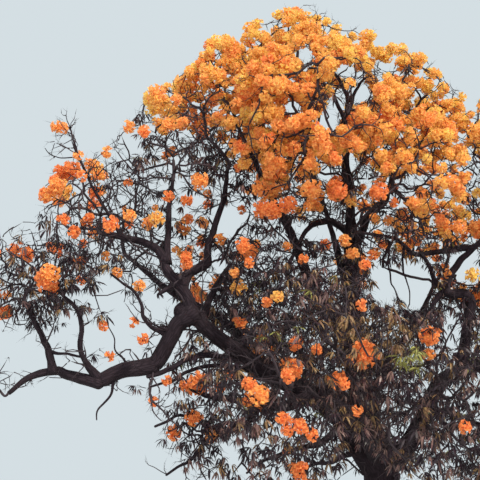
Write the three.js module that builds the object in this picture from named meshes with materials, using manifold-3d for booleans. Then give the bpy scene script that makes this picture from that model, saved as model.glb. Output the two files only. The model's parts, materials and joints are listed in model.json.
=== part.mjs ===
// Trumpet tree in bloom, an old spreading one, built whole from its root flare to its furthest sprays.
// Millimetres, +Z up. The origin is the middle of the flat cut under the trunk, at ground level.
// The trunk forks low into sinuous boughs. Each bough ends at a mass: a stem whose twigs branch by one
// seeded rule, and carry round heads of blossom or sprays of hanging leaves.

import * as THREE from "three";
import { mergeVertices } from "three/addons/utils/BufferGeometryUtils.js";
import Module from "manifold-3d";

const wasm = await Module();
wasm.setup();

// Driving dimensions

const TRUNK_HEIGHT = 2350; // from the ground to the top of the fork
const TRUNK_LEAN = [-70, 30]; // how far the fork stands to the left of the foot, and behind it
const TRUNK_RADIUS = 235; // at the ground, inside the root flare
const TRUNK_TAPER = 40; // how much thinner it is at the fork
const FLARE_OUT = 210; // how far the root flare stands out at the ground
const FLARE_HEIGHT = 210; // the height over which the flare fades
const FLARE_LOBES = 5; // root ridges round the foot
const FLARE_TURN = 0.4; // how far round the first ridge stands, in radians
const TRUNK_RINGS = [0, 80, 190, 380, 760, 1350, 1950]; // heights of its rings
const TRUNK_SHOULDERS = [[0.93, 0.97], [0.98, 0.68]]; // share of the height, and of the radius there

const CLEAR = 0.3; // gap between pieces that meet
const LIMB_SIDES = [7, 5]; // sides of a thick bough, and of a thin one
const THICK = 60; // radius at its start that makes a bough thick
const TRUNK_SIDES = 15;
const RING_EVERY = 400; // rings along a bough
const WANDER = 0.22; // how far a seeded leg strays, as a share of its length
const WALK_SEED = 29;

const TWIG_RADII = [16, 12, 10]; // by how many forks a twig is from its stem
const TWIG_ROOT = 0.45; // a twig's root against its middle, so that it is sunk whole in what it grows from
const TWIG_SIDES = 3;
const STEM_SIDES = 5;
const STEM_ELBOW = 0.4; // how far the stem keeps its bough's heading, as a share of the way to the heart
const FORK_COST = 0.2; // how much longer a way from a twig may seem, for each fork it is from the stem
const JOINTS_TRIED = 5;

const HEAD_RADIUS = 150; // a round head of blossom
const HEAD_SQUASH = 0.86; // its height against its width
const LEAF_BLADES = 5; // hanging blades of one palmate leaf, which stands for a whole spray
const LEAF_REACH = [190, 270]; // how far its blades reach out, at the least and at the most
const LEAF_DROP = [150, 330]; // how far they hang down
const LEAF_NOTCH = 62; // how far out the notches between the blades lie
const LEAF_HUB = 26; // half the thickness where the blades meet

const SPRAY_GAP = 380; // least distance between two sprays of one mass
const SPRAY_TRIES = 260; // places tried in each mass
const LIMB_SPACE = 12; // least gap between a twig, head or leaf and a limb
const MASS_SPACE = 6; // half the least gap between two masses

// The boughs. Each starts on its parent's middle line, at a share of the parent's length, and thins from
// the first radius to the second. A bough that the picture shows is a walk of legs, each so far right, back
// and up. One that it hides has only its whole span, and wanders there in a number of seeded legs.

const BOUGHS = {
  west_bough: {
    from: "trunk", at: 0.86, radii: [135, 112],
    legs: [[-480, -150, 620], [-450, -150, 300], [-450, -150, 200]],
  },
  rising_bough: {
    from: "west_bough", at: 1, radii: [96, 32],
    legs: [[-230, -190, 150], [-240, -200, 130], [-200, -180, 140], [-120, -120, 140], [-80, -20, 180],
      [-90, 0, 130], [-120, 0, 150], [-70, 0, 190], [-130, 0, 100], [-200, 0, 70], [-280, 0, 60]],
  },
  west_drop_bough: {
    from: "rising_bough", at: 0.36, radii: [94, 88],
    legs: [[-150, 0, -120], [-120, 40, -170], [-100, 50, -200], [-100, 30, -110]],
  },
  west_level_bough: {
    from: "west_drop_bough", at: 0.98, radii: [94, 78],
    legs: [[-200, 0, -40], [-180, -30, -40], [-210, -50, -130]],
  },
  centre_bough: {
    from: "trunk", at: 0.93, radii: [118, 24],
    legs: [[-100, 150, 600], [-80, 100, 620], [-40, 60, 650], [10, 30, 650], [0, 0, 560], [-60, 0, 560],
      [60, 0, 560], [-150, 0, 430]],
  },
  east_bough: {
    from: "trunk", at: 0.88, radii: [122, 42],
    legs: [[250, -50, 150], [260, -50, 400], [200, -50, 400], [300, -50, 160], [450, -50, 120], [450, 0, 250],
      [350, 50, 350]],
  },
  front_bough: {
    from: "trunk", at: 0.9, radii: [92, 32],
    span: [-480, -1300, 900], legs: 3,
  },
  back_bough: {
    from: "trunk", at: 0.92, radii: [104, 36],
    span: [200, 2250, 1800], legs: 4,
  },
  far_west_bough: {
    from: "west_level_bough", at: 0.985, radii: [70, 24],
    legs: [[-290, 50, 80], [-190, 50, 70], [-270, -100, -80], [-200, -100, -190]],
  },
  far_west_riser: {
    from: "far_west_bough", at: 0.5, radii: [48, 26],
    legs: [[-60, 0, 250], [-100, 50, 180], [-170, 50, 320]],
  },
  west_fork: {
    from: "west_level_bough", at: 0.93, radii: [40, 20],
    legs: [[-140, -70, 160], [-90, -60, 170], [20, -60, 220], [-60, -40, 210], [-140, -20, 130]],
  },
  west_shoot: {
    from: "rising_bough", at: 0.94, radii: [22, 12],
    legs: [[-200, -50, 320], [-180, 0, 320], [-160, 0, 350], [-40, 0, 120]],
  },
  rising_up_bough: {
    from: "rising_bough", at: 0.67, radii: [46, 22],
    legs: [[10, 50, 280], [0, 100, 370], [30, 100, 400]],
  },
  rising_right_bough: {
    from: "rising_bough", at: 0.51, radii: [62, 25],
    legs: [[110, 150, 220], [180, 150, 140], [0, 100, 190], [90, 150, 360], [100, 200, 430], [20, 100, 300]],
  },
  west_high_bough: {
    from: "rising_bough", at: 0.29, radii: [50, 26],
    legs: [[40, 180, 190], [70, 250, 220], [70, 300, 220], [70, 400, 230]],
  },
  north_west_bough: {
    from: "west_bough", at: 0.66, radii: [76, 28],
    span: [-2080, 820, 1730], legs: 4,
  },
  centre_west_bough: {
    from: "centre_bough", at: 0.24, radii: [78, 24],
    legs: [[-350, -150, 530], [-310, -160, 520], [-90, -60, 260], [-190, -60, 410], [-180, 100, 340],
      [-100, 50, 300], [-150, 50, 350]],
  },
  arch_bough: {
    from: "centre_bough", at: 0.56, radii: [48, 24],
    legs: [[-250, -250, 100], [-210, -250, -70], [-160, -150, -140], [-150, -50, -300]],
  },
  front_top_bough: {
    from: "centre_bough", at: 0.42, radii: [52, 23],
    span: [-180, -1000, 1450], legs: 3,
  },
  top_east_bough: {
    from: "centre_bough", at: 0.48, radii: [58, 22],
    span: [850, 0, 1900], legs: 4,
  },
  back_top_bough: {
    from: "centre_bough", at: 0.36, radii: [62, 24],
    span: [-350, 950, 2000], legs: 3,
  },
  east_riser: {
    from: "east_bough", at: 0.55, radii: [66, 56],
    legs: [[40, -30, 250], [30, -30, 190], [30, -30, 190], [40, -30, 160], [-70, -40, 120], [-170, -40, -20],
      [-140, -30, 50]],
  },
  east_mid_bough: {
    from: "east_riser", at: 0.96, radii: [46, 25],
    legs: [[130, 40, 250], [180, 50, 210], [230, 80, 210], [330, 70, 260], [300, 60, 310]],
  },
  east_inner_bough: {
    from: "east_mid_bough", at: 0.48, radii: [38, 20],
    legs: [[-160, -30, -10], [-220, -50, -40], [-190, -40, -40], [-160, -20, -10], [-120, -10, 100],
      [-130, 10, 100], [-220, 40, 50]],
  },
  east_back_bough: {
    from: "east_bough", at: 0.66, radii: [58, 25],
    span: [600, 1150, 1250], legs: 3,
  },
  front_west_bough: {
    from: "west_bough", at: 0.36, radii: [62, 25],
    span: [-500, -1300, 220], legs: 3,
  },
  low_west_bough: {
    from: "west_bough", at: 0.88, radii: [46, 20],
    legs: [[-50, -150, -230], [-200, -200, -200], [-150, -100, -180], [-200, -50, 40], [-150, 0, -60]],
  },
  front_east_bough: {
    from: "east_bough", at: 0.4, radii: [66, 27],
    span: [-170, -1180, -20], legs: 3,
  },
  low_east_bough: {
    from: "east_bough", at: 0.3, radii: [44, 20],
    span: [650, -950, -150], legs: 3,
  },
  back_west_bough: {
    from: "back_bough", at: 0.3, radii: [74, 28],
    span: [-1500, 1150, 1300], legs: 3,
  },
  back_east_bough: {
    from: "back_bough", at: 0.42, radii: [68, 26],
    span: [950, 650, 1550], legs: 3,
  },
};

// The masses. heart is where the middle of a mass lies, right, back and up from its bough's tip. reach is
// how far its sprays go from there, and bloom the share of them that are heads of blossom.

const MASSES = {
  far_west_mass: { on: "far_west_riser", heart: [50, 0, 330], reach: 690, bloom: 0.7, sprays: 9 },
  far_drop_mass: { on: "far_west_bough", heart: [-120, 0, 60], reach: 380, bloom: 0.1, sprays: 3 },
  west_fork_mass: { on: "west_fork", heart: [190, 20, 220], reach: 500, bloom: 0.4, sprays: 5 },
  west_shoot_mass: { on: "west_shoot", heart: [-50, 0, 180], reach: 260, bloom: 1, sprays: 3 },
  upper_west_mass: { on: "rising_bough", heart: [-90, 30, 230], reach: 730, bloom: 0.7, sprays: 9 },
  rising_mass: { on: "rising_up_bough", heart: [0, 0, 300], reach: 800, bloom: 0.7, sprays: 9 },
  shoulder_mass: { on: "rising_right_bough", heart: [-200, -100, 400], reach: 880, bloom: 0.85, sprays: 9 },
  west_high_mass: { on: "west_high_bough", heart: [-20, 600, 350], reach: 880, bloom: 0.4, sprays: 8 },
  north_west_mass: { on: "north_west_bough", heart: [-200, 150, 450], reach: 1000, bloom: 0.6, sprays: 8 },
  high_west_mass: { on: "centre_west_bough", heart: [-200, -50, 500], reach: 850, bloom: 0.9, sprays: 9 },
  leafy_heart_mass: { on: "arch_bough", heart: [-100, -350, -350], reach: 850, bloom: 0.15, sprays: 9 },
  front_top_mass: { on: "front_top_bough", heart: [-380, -350, 150], reach: 1050, bloom: 0.85, sprays: 9 },
  top_mass: { on: "centre_bough", heart: [-420, -50, 380], reach: 920, bloom: 0.95, sprays: 9 },
  top_east_mass: { on: "top_east_bough", heart: [-150, -50, 180], reach: 820, bloom: 0.9, sprays: 9 },
  back_top_mass: { on: "back_top_bough", heart: [-50, 250, 450], reach: 1000, bloom: 0.85, sprays: 8 },
  east_inner_mass: { on: "east_inner_bough", heart: [200, -250, 500], reach: 950, bloom: 0.75, sprays: 9 },
  east_mid_mass: { on: "east_mid_bough", heart: [0, -100, 400], reach: 1050, bloom: 0.85, sprays: 8 },
  east_mass: { on: "east_bough", heart: [250, -350, 380], reach: 1020, bloom: 0.6, sprays: 8 },
  east_back_mass: { on: "east_back_bough", heart: [150, 250, 450], reach: 1000, bloom: 0.7, sprays: 8 },
  front_mass: { on: "front_bough", heart: [-200, -450, 200], reach: 880, bloom: 0.35, sprays: 9 },
  front_west_mass: { on: "front_west_bough", heart: [-120, -350, -150], reach: 850, bloom: 0.3, sprays: 9 },
  low_west_mass: { on: "low_west_bough", heart: [-100, 0, -80], reach: 450, bloom: 0.15, sprays: 5 },
  front_east_mass: { on: "front_east_bough", heart: [-100, -400, -180], reach: 920, bloom: 0.45, sprays: 8 },
  low_east_mass: { on: "low_east_bough", heart: [100, -200, -50], reach: 800, bloom: 0.2, sprays: 8 },
  back_mass: { on: "back_bough", heart: [0, 450, 300], reach: 1000, bloom: 0.6, sprays: 8 },
  back_west_mass: { on: "back_west_bough", heart: [-250, 350, 350], reach: 1080, bloom: 0.6, sprays: 8 },
  back_east_mass: { on: "back_east_bough", heart: [250, 250, 400], reach: 1080, bloom: 0.7, sprays: 8 },
};

// Materials

const bark = new THREE.MeshStandardMaterial({ color: 0x352c30, roughness: 0.92, metalness: 0 });
const blossomAndLeaf = new THREE.MeshStandardMaterial({ color: 0xe8871e, roughness: 0.7, metalness: 0 });
const leafAndBlossom = new THREE.MeshStandardMaterial({ color: 0x4b4531, roughness: 0.75, metalness: 0 });

// Helpers

const vector = (x, y, z) => new THREE.Vector3(x, y, z);
const vector2 = (x, y) => new THREE.Vector2(x, y);

// Numbers from 0 to 1, the same ones each time for one seed.
function seeded(seed) {
  let state = seed >>> 0;
  return () => {
    state = (Math.imul(state, 1664525) + 1013904223) >>> 0;
    return state / 4294967296;
  };
}

// Moves every corner of a geometry to where a function of its old place puts it.
function reshaped(geometry, place) {
  const corners = geometry.attributes.position;
  const corner = new THREE.Vector3();
  for (let i = 0; i < corners.count; i++) {
    const moved = place(corner.fromBufferAttribute(corners, i), i);
    corners.setXYZ(i, moved.x, moved.y, moved.z);
  }
  return geometry;
}

// A tapering limb: a cylinder bent along a line of points, with a radius at each, and grown by a margin.
function taperingTube(line, radii, sides, grow = 0) {
  const last = line.length - 1;
  let across = vector(0, 0, 1);
  const frames = line.map((point, i) => {
    const heading = line[Math.min(i + 1, last)].clone().sub(line[Math.max(i - 1, 0)]).normalize();
    if (i === 0 && Math.abs(heading.z) > 0.9) across = vector(1, 0, 0);
    across = across.clone().addScaledVector(heading, -across.dot(heading)).normalize();
    const end = i === 0 ? -grow : i === last ? grow : 0;
    const centre = point.clone().addScaledVector(heading, end);
    const radius = radii[i] + grow / Math.cos(Math.PI / sides);
    return { centre, across, along: heading.clone().cross(across), radius };
  });
  return reshaped(new THREE.CylinderGeometry(1, 1, last, sides, last), (corner) => {
    const { centre, across, along, radius } = frames[Math.round(corner.y + last / 2)];
    const aside = across.clone().multiplyScalar(corner.z).addScaledVector(along, corner.x);
    return centre.clone().addScaledVector(aside, radius);
  });
}

// A closed geometry as a solid that can be joined and cut.
function solidOf(geometry) {
  geometry.deleteAttribute("normal");
  geometry.deleteAttribute("uv");
  const merged = mergeVertices(geometry, 1e-3);
  return new wasm.Manifold(
    new wasm.Mesh({
      numProp: 3,
      vertProperties: merged.attributes.position.array,
      triVerts: new Uint32Array(merged.index.array),
    }),
  );
}

// The largest body of a solid, so that no scrap of a cut stays loose.
function largestBody(solid) {
  return solid.decompose().reduce((a, b) => (b.volume() > a.volume() ? b : a));
}

function geometryOf(solid) {
  const mesh = solid.getMesh();
  const flat = new THREE.BufferGeometry()
    .setAttribute("position", new THREE.BufferAttribute(new Float32Array(mesh.vertProperties), 3))
    .setIndex(new THREE.BufferAttribute(new Uint32Array(mesh.triVerts), 1))
    .toNonIndexed();
  flat.computeVertexNormals();
  return flat;
}

// A named mesh that stands at a place of its own, its shape measured from there.
function node(name, solid, material, at) {
  const mesh = new THREE.Mesh(geometryOf(solid).translate(-at.x, -at.y, -at.z), material);
  mesh.name = name;
  return mesh;
}

// Joins solids two by two, which stays quick for many small ones.
function joined(solids) {
  let left = solids;
  while (left.length > 1) {
    const next = [];
    for (let i = 0; i < left.length; i += 2) {
      next.push(i + 1 < left.length ? left[i].add(left[i + 1]) : left[i]);
    }
    left = next;
  }
  return left[0];
}

// The trunk

function trunkRadius(height) {
  return TRUNK_RADIUS - TRUNK_TAPER * (height / TRUNK_HEIGHT);
}

function trunkCentre(height) {
  const share = height / TRUNK_HEIGHT;
  return vector(TRUNK_LEAN[0] * share * share, TRUNK_LEAN[1] * share * share, height);
}

// A lathed post that leans, spreads into root ridges at its foot, and closes in a rounded fork.
function trunkSolid() {
  const profile = [vector2(0, 0)];
  for (const height of TRUNK_RINGS) profile.push(vector2(trunkRadius(height), height));
  for (const [share, thin] of TRUNK_SHOULDERS) {
    profile.push(vector2(thin * trunkRadius(TRUNK_HEIGHT), share * TRUNK_HEIGHT));
  }
  profile.push(vector2(0, TRUNK_HEIGHT));
  const post = new THREE.LatheGeometry(profile, TRUNK_SIDES).rotateX(Math.PI / 2);
  return solidOf(
    reshaped(post, (corner) => {
      const turn = Math.atan2(corner.y, corner.x);
      const ridge = 0.62 + 0.38 * Math.cos(FLARE_LOBES * turn + FLARE_TURN);
      const out = Math.hypot(corner.x, corner.y);
      const spread = out < 1 ? 1 : 1 + (FLARE_OUT * Math.exp(-corner.z / FLARE_HEIGHT) * ridge) / out;
      return trunkCentre(corner.z).add(vector(corner.x * spread, corner.y * spread, 0));
    }),
  );
}

// Middle lines of the limbs: each a smooth curve through the ends of its legs

const limbs = {
  trunk: {
    line: [0, 0.25, 0.5, 0.75, 1].map((share) => trunkCentre(share * TRUNK_HEIGHT)),
    radii: [0, 0.25, 0.5, 0.75, 1].map((share) => trunkRadius(share * TRUNK_HEIGHT)),
  },
};

function pointAlong(limb, share) {
  const at = share * (limb.line.length - 1);
  const i = Math.min(Math.floor(at), limb.line.length - 2);
  return limb.line[i].clone().lerp(limb.line[i + 1], at - i);
}

// The ends of a bough's legs, measured from its start.
function walk(bough, seed) {
  if (!bough.span) {
    const at = vector(0, 0, 0);
    return bough.legs.map((leg) => at.add(vector(...leg)).clone());
  }
  const random = seeded(seed);
  const span = vector(...bough.span);
  return Array.from({ length: bough.legs }, (_, i) => {
    const share = (i + 1) / bough.legs;
    const stray = share < 1 ? (WANDER * span.length()) / bough.legs : 0;
    const aside = vector(random() - 0.5, random() - 0.5, random() - 0.5).multiplyScalar(2 * stray);
    return span.clone().multiplyScalar(share).add(aside);
  });
}

for (const [name, bough] of Object.entries(BOUGHS)) {
  const start = pointAlong(limbs[bough.from], bough.at);
  const joints = [start, ...walk(bough, name.length * WALK_SEED).map((end) => start.clone().add(end))];
  const curve = new THREE.CatmullRomCurve3(joints, false, "catmullrom", 0.5);
  const length = curve.getLength();
  const line = curve.getPoints(Math.max(3, Math.round(length / RING_EVERY)));
  const radii = line.map((_, i) => THREE.MathUtils.lerp(...bough.radii, i / (line.length - 1)));
  limbs[name] = { line, radii };
}

// The limbs as capsules, for keeping twigs, heads and leaves off them.
const capsules = Object.values(limbs).flatMap(({ line, radii }) =>
  line.slice(1).map((to, i) => ({ from: line[i], to, radius: Math.max(radii[i], radii[i + 1]) })),
);

// The least distance between two straight stretches.
function gapBetween(a, b, c, d) {
  const u = b.clone().sub(a);
  const v = d.clone().sub(c);
  const w = a.clone().sub(c);
  const uu = u.dot(u);
  const vv = v.dot(v);
  const uv = u.dot(v);
  const uw = u.dot(w);
  const vw = v.dot(w);
  const spread = uu * vv - uv * uv;
  let s = spread > 1e-9 * uu * vv ? THREE.MathUtils.clamp((uv * vw - vv * uw) / spread, 0, 1) : 0;
  const t = vv > 0 ? THREE.MathUtils.clamp((uv * s + vw) / vv, 0, 1) : 0;
  s = uu > 0 ? THREE.MathUtils.clamp((uv * t - uw) / uu, 0, 1) : 0;
  return a.clone().addScaledVector(u, s).distanceTo(c.clone().addScaledVector(v, t));
}

function clearOfLimbs(from, to, radius) {
  return capsules.every((c) => gapBetween(from, to, c.from, c.to) > c.radius + radius + LIMB_SPACE);
}

// Growing a mass: its stem, its twigs, and what they carry

Object.entries(MASSES).forEach(([name, mass], i) => {
  const { line, radii } = limbs[mass.on];
  mass.tip = line.at(-1);
  mass.heading = mass.tip.clone().sub(line.at(-2)).normalize();
  mass.tipRadius = radii.at(-1);
  mass.middle = mass.tip.clone().add(vector(...mass.heart));
  mass.seed = 101 + 37 * i;
  mass.name = name;
});

// Whether a ball lies in the mass's own space: on its own side of the plane between it and each other mass.
function inOwnSpace(mass, point, radius) {
  return Object.values(MASSES).every((other) => {
    if (other === mass) return true;
    const apart = mass.middle.distanceTo(other.middle);
    const ours = point.distanceToSquared(mass.middle) - mass.reach ** 2;
    const theirs = point.distanceToSquared(other.middle) - other.reach ** 2;
    return (theirs - ours) / (2 * apart) > radius + MASS_SPACE;
  });
}

// The places of a mass's sprays, tried in the outer part of its reach and sorted from the middle outwards.
function sprayPlaces(mass, random) {
  const places = [];
  for (let i = 0; i < SPRAY_TRIES && places.length < mass.sprays; i++) {
    const turn = 2 * Math.PI * random();
    const rise = 2 * random() - 1;
    const out = mass.reach * (0.5 + 0.5 * Math.cbrt(random()));
    const level = Math.sqrt(1 - rise * rise);
    const place = mass.middle.clone().add(
      vector(out * level * Math.cos(turn), out * level * Math.sin(turn), out * rise),
    );
    if (places.some((other) => other.distanceTo(place) < SPRAY_GAP)) continue;
    if (!inOwnSpace(mass, place, HEAD_RADIUS)) continue;
    if (!clearOfLimbs(place, place, HEAD_RADIUS)) continue;
    places.push(place);
  }
  return places.sort((a, b) => a.distanceTo(mass.middle) - b.distanceTo(mass.middle));
}

// The stem of a mass and its twigs: each twig goes to one spray, from the joint that reaches it best.
function growTwigs(mass, random) {
  const start = mass.tip.clone().addScaledVector(mass.heading, CLEAR);
  const elbow = start.clone().addScaledVector(mass.heading, STEM_ELBOW * mass.middle.distanceTo(mass.tip));
  const stem = [start, elbow, mass.middle];
  const joints = [
    { at: elbow, level: 0 },
    { at: elbow.clone().lerp(mass.middle, 0.5), level: 0 },
    { at: mass.middle, level: 0 },
  ];
  const twigs = [];
  for (const place of sprayPlaces(mass, random)) {
    const ranked = joints
      .map((joint) => ({ ...joint, cost: joint.at.distanceTo(place) * (1 + FORK_COST * joint.level) }))
      .sort((a, b) => a.cost - b.cost)
      .slice(0, JOINTS_TRIED);
    const from = ranked.find((joint) => clearOfLimbs(joint.at, place, TWIG_RADII[0]));
    if (!from) continue;
    const level = from.level + 1;
    joints.push({ at: from.at.clone().lerp(place, 0.5), level }, { at: place, level });
    twigs.push({ from: from.at, to: place, radius: TWIG_RADII[Math.min(from.level, TWIG_RADII.length - 1)] });
  }
  return { stem, twigs };
}

// A round head of blossom: a lumpy ball with flat faces.
function headSolid(centre, random) {
  const ball = new THREE.IcosahedronGeometry(HEAD_RADIUS, 0);
  ball.rotateX(2 * Math.PI * random());
  ball.rotateZ(2 * Math.PI * random());
  ball.scale(1, 1, HEAD_SQUASH);
  ball.translate(centre.x, centre.y, centre.z);
  return solidOf(ball);
}

// A palmate leaf round the end of its twig: a lathed double cone, its rim drawn out and down into hanging
// blades with notches between them.
function leafSolid(mass, hub, random) {
  const turned = 2 * Math.PI * random();
  const rim = [];
  for (let i = 0; i < LEAF_BLADES; i++) {
    const turn = turned + (2 * Math.PI * (i + 0.3 * random())) / LEAF_BLADES;
    const notch = turned + (2 * Math.PI * (i + 0.65)) / LEAF_BLADES;
    const out = THREE.MathUtils.lerp(...LEAF_REACH, random());
    const drop = THREE.MathUtils.lerp(...LEAF_DROP, random());
    const tip = vector(out * Math.cos(turn), out * Math.sin(turn), -drop);
    let share = 1;
    while (share > 0.4 && !leafTipFits(mass, hub, hub.clone().addScaledVector(tip, share))) share -= 0.2;
    rim.push(tip.multiplyScalar(share));
    rim.push(vector(LEAF_NOTCH * Math.cos(notch), LEAF_NOTCH * Math.sin(notch), -LEAF_NOTCH));
  }
  const profile = [vector2(0, -LEAF_HUB), vector2(1, 0), vector2(0, LEAF_HUB)];
  const star = new THREE.LatheGeometry(profile, rim.length);
  return solidOf(
    reshaped(star, (corner, i) => {
      const ring = Math.floor(i / profile.length) % rim.length;
      const onRim = i % profile.length === 1;
      return hub.clone().add(onRim ? rim[ring] : vector(0, 0, corner.y));
    }),
  );
}

function leafTipFits(mass, hub, tip) {
  return inOwnSpace(mass, tip, 0) && clearOfLimbs(hub, tip, LEAF_HUB);
}

function massSolid(mass) {
  const random = seeded(mass.seed);
  const { stem, twigs } = growTwigs(mass, random);
  const stemRadii = [0.92 * mass.tipRadius, 0.85 * mass.tipRadius, 0.75 * mass.tipRadius];
  const pieces = [solidOf(taperingTube(stem, stemRadii, STEM_SIDES))];
  for (const { from, to, radius } of twigs) {
    pieces.push(solidOf(taperingTube([from, to], [TWIG_ROOT * radius, radius], TWIG_SIDES)));
    pieces.push(random() < mass.bloom ? headSolid(to, random) : leafSolid(mass, to, random));
  }
  return largestBody(joined(pieces));
}

// The tree: each bough's group stands at the start of the bough, in the group of the limb it grows from

const trunk = trunkSolid();
const tree = new THREE.Group();
tree.add(node("trunk", trunk, bark, vector(0, 0, 0)));
limbs.trunk.group = tree;
limbs.trunk.start = vector(0, 0, 0);

// Each bough is cut by the limbs that come before it, grown by the clear gap, so that it meets them.
const spread = 1 + CLEAR / TRUNK_RADIUS;
const cutters = [trunk.scale([spread, spread, 1 + CLEAR / TRUNK_HEIGHT])];
for (const [name, bough] of Object.entries(BOUGHS)) {
  const limb = limbs[name];
  const parent = limbs[bough.from];
  limb.start = limb.line[0];
  limb.group = new THREE.Group();
  limb.group.position.copy(limb.start).sub(parent.start);
  parent.group.add(limb.group);
  const sides = limb.radii[0] >= THICK ? LIMB_SIDES[0] : LIMB_SIDES[1];
  const whole = solidOf(taperingTube(limb.line, limb.radii, sides));
  const cut = largestBody(cutters.reduce((left, cutter) => left.subtract(cutter), whole));
  cutters.push(solidOf(taperingTube(limb.line, limb.radii, sides, CLEAR)));
  limb.group.add(node(name, cut, bark, limb.start));
}

for (const [name, mass] of Object.entries(MASSES)) {
  const limb = limbs[mass.on];
  const mesh = node(name, massSolid(mass), mass.bloom > 0.5 ? blossomAndLeaf : leafAndBlossom, mass.tip);
  mesh.position.copy(mass.tip).sub(limb.start);
  limb.group.add(mesh);
}

export default tree;
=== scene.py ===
# %% [markdown]
# # A trumpet tree in bloom
# A grown trumpet tree has a low trunk with corky bark, boughs that wind up out of one fork, a haze of fine
# twigs, round heads of golden trumpet flowers, and palmate leaves that hang and dry while it blooms.
# The plain solids of the tree are loaded first. Everything made here is measured in the same metres and
# stands where they do, finer than they are and no larger.

import json
import math

import bpy
import numpy as np
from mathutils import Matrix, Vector, noise

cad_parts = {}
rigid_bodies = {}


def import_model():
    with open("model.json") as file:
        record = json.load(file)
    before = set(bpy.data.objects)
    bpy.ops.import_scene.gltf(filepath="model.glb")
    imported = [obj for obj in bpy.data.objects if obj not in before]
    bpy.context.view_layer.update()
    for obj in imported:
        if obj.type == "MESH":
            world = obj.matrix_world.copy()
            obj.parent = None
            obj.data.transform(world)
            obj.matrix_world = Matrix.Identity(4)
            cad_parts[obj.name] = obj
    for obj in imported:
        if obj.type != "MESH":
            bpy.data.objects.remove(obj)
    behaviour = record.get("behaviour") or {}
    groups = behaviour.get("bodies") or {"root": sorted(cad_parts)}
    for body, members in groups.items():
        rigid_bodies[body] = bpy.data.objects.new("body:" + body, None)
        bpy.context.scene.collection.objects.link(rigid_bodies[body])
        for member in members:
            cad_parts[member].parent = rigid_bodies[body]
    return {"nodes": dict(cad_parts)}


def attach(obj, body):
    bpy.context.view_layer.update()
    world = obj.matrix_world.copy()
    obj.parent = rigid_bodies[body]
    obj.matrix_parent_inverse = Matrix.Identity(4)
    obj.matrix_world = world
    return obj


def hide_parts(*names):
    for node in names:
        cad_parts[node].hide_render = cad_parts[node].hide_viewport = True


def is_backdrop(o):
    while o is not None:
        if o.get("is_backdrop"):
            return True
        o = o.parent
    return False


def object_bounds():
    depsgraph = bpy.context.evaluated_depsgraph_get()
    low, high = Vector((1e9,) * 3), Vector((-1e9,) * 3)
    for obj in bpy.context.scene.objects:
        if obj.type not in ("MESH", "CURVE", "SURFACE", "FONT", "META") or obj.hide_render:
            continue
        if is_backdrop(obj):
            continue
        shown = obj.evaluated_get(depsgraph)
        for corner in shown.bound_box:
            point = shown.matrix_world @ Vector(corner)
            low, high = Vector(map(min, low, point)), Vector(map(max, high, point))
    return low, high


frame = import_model()
CAD_LOW, CAD_HIGH = (np.array(corner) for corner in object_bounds())
print("solids:", len(frame["nodes"]), "from", CAD_LOW.round(3), "to", CAD_HIGH.round(3))

# %% [markdown]
# ## The camera
# The picture was taken from eye height, looking up into the crown, so the ground isn't in it. A lens much
# longer than the sensor is wide keeps the boughs from spreading apart near the edges. The camera comes first
# because the gaps of sky between the boughs are found by the way that they are seen from it.

# %% The camera and where it sees a point
EYE = np.array([-1.7, -12.0, 1.6])
LOOKING_UP = math.radians(15)
LENS = 75
SENSOR = 36
IMAGE_SIDE = 480

camera = bpy.data.objects.new("camera", bpy.data.cameras.new("camera"))
camera.data.lens = LENS
camera.data.sensor_width = SENSOR
camera.location = EYE
camera.rotation_euler = (math.pi / 2 + LOOKING_UP, 0, 0)
bpy.context.scene.collection.objects.link(camera)
bpy.context.scene.camera = camera


def seen_at(points):
    """Across and down in the picture, in pixels, for each point."""
    away = np.atleast_2d(points) - EYE
    depth = away[:, 1] * math.cos(LOOKING_UP) + away[:, 2] * math.sin(LOOKING_UP)
    rise = away[:, 2] * math.cos(LOOKING_UP) - away[:, 1] * math.sin(LOOKING_UP)
    focal = IMAGE_SIDE * LENS / SENSOR
    return IMAGE_SIDE / 2 + focal * away[:, 0] / depth, IMAGE_SIDE / 2 - focal * rise / depth


print("the trunk's foot is seen at", [round(float(c[0])) for c in seen_at([0, 0, 0])])

# %% [markdown]
# ## The limbs' middle lines
# A bough is drawn by its middle line: a smooth curve through a few joints. The solids follow the same walks,
# so the same numbers are used here. A row has the limb that carries the bough, where along it the bough
# starts, the radii of its two ends in millimetres, and its legs in centimetres, each so far right, back and
# up. A bough that the picture hides has only a span, and wanders there in a few legs drawn by a seeded dice.

# %% The walks of the boughs
TRUNK_HEIGHT = 2.35
TRUNK_LEAN = (-0.07, 0.03)
TRUNK_RADIUS = 0.235
TRUNK_TAPER = 0.04
FLARE_OUT = 0.21
FLARE_HEIGHT = 0.21
FLARE_LOBES = 5
WANDER = 0.22
WALK_SEED = 29
RING_EVERY = 0.4
LEAST_PIECES = 3
TRUNK_STEPS = 5
LENGTH_STEPS = 201
CENTI = 100
MILLI = 1000


def in_metres(table):
    """The same table of limbs with its radii and legs in metres."""
    rows = {}
    for name, (parent, share, ends, walk) in table.items():
        if isinstance(walk, list):
            walk = [np.array(leg) / CENTI for leg in walk]
        else:
            walk = (np.array(walk[0]) / CENTI, walk[1])
        rows[name] = (parent, share, tuple(radius / MILLI for radius in ends), walk)
    return rows


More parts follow.
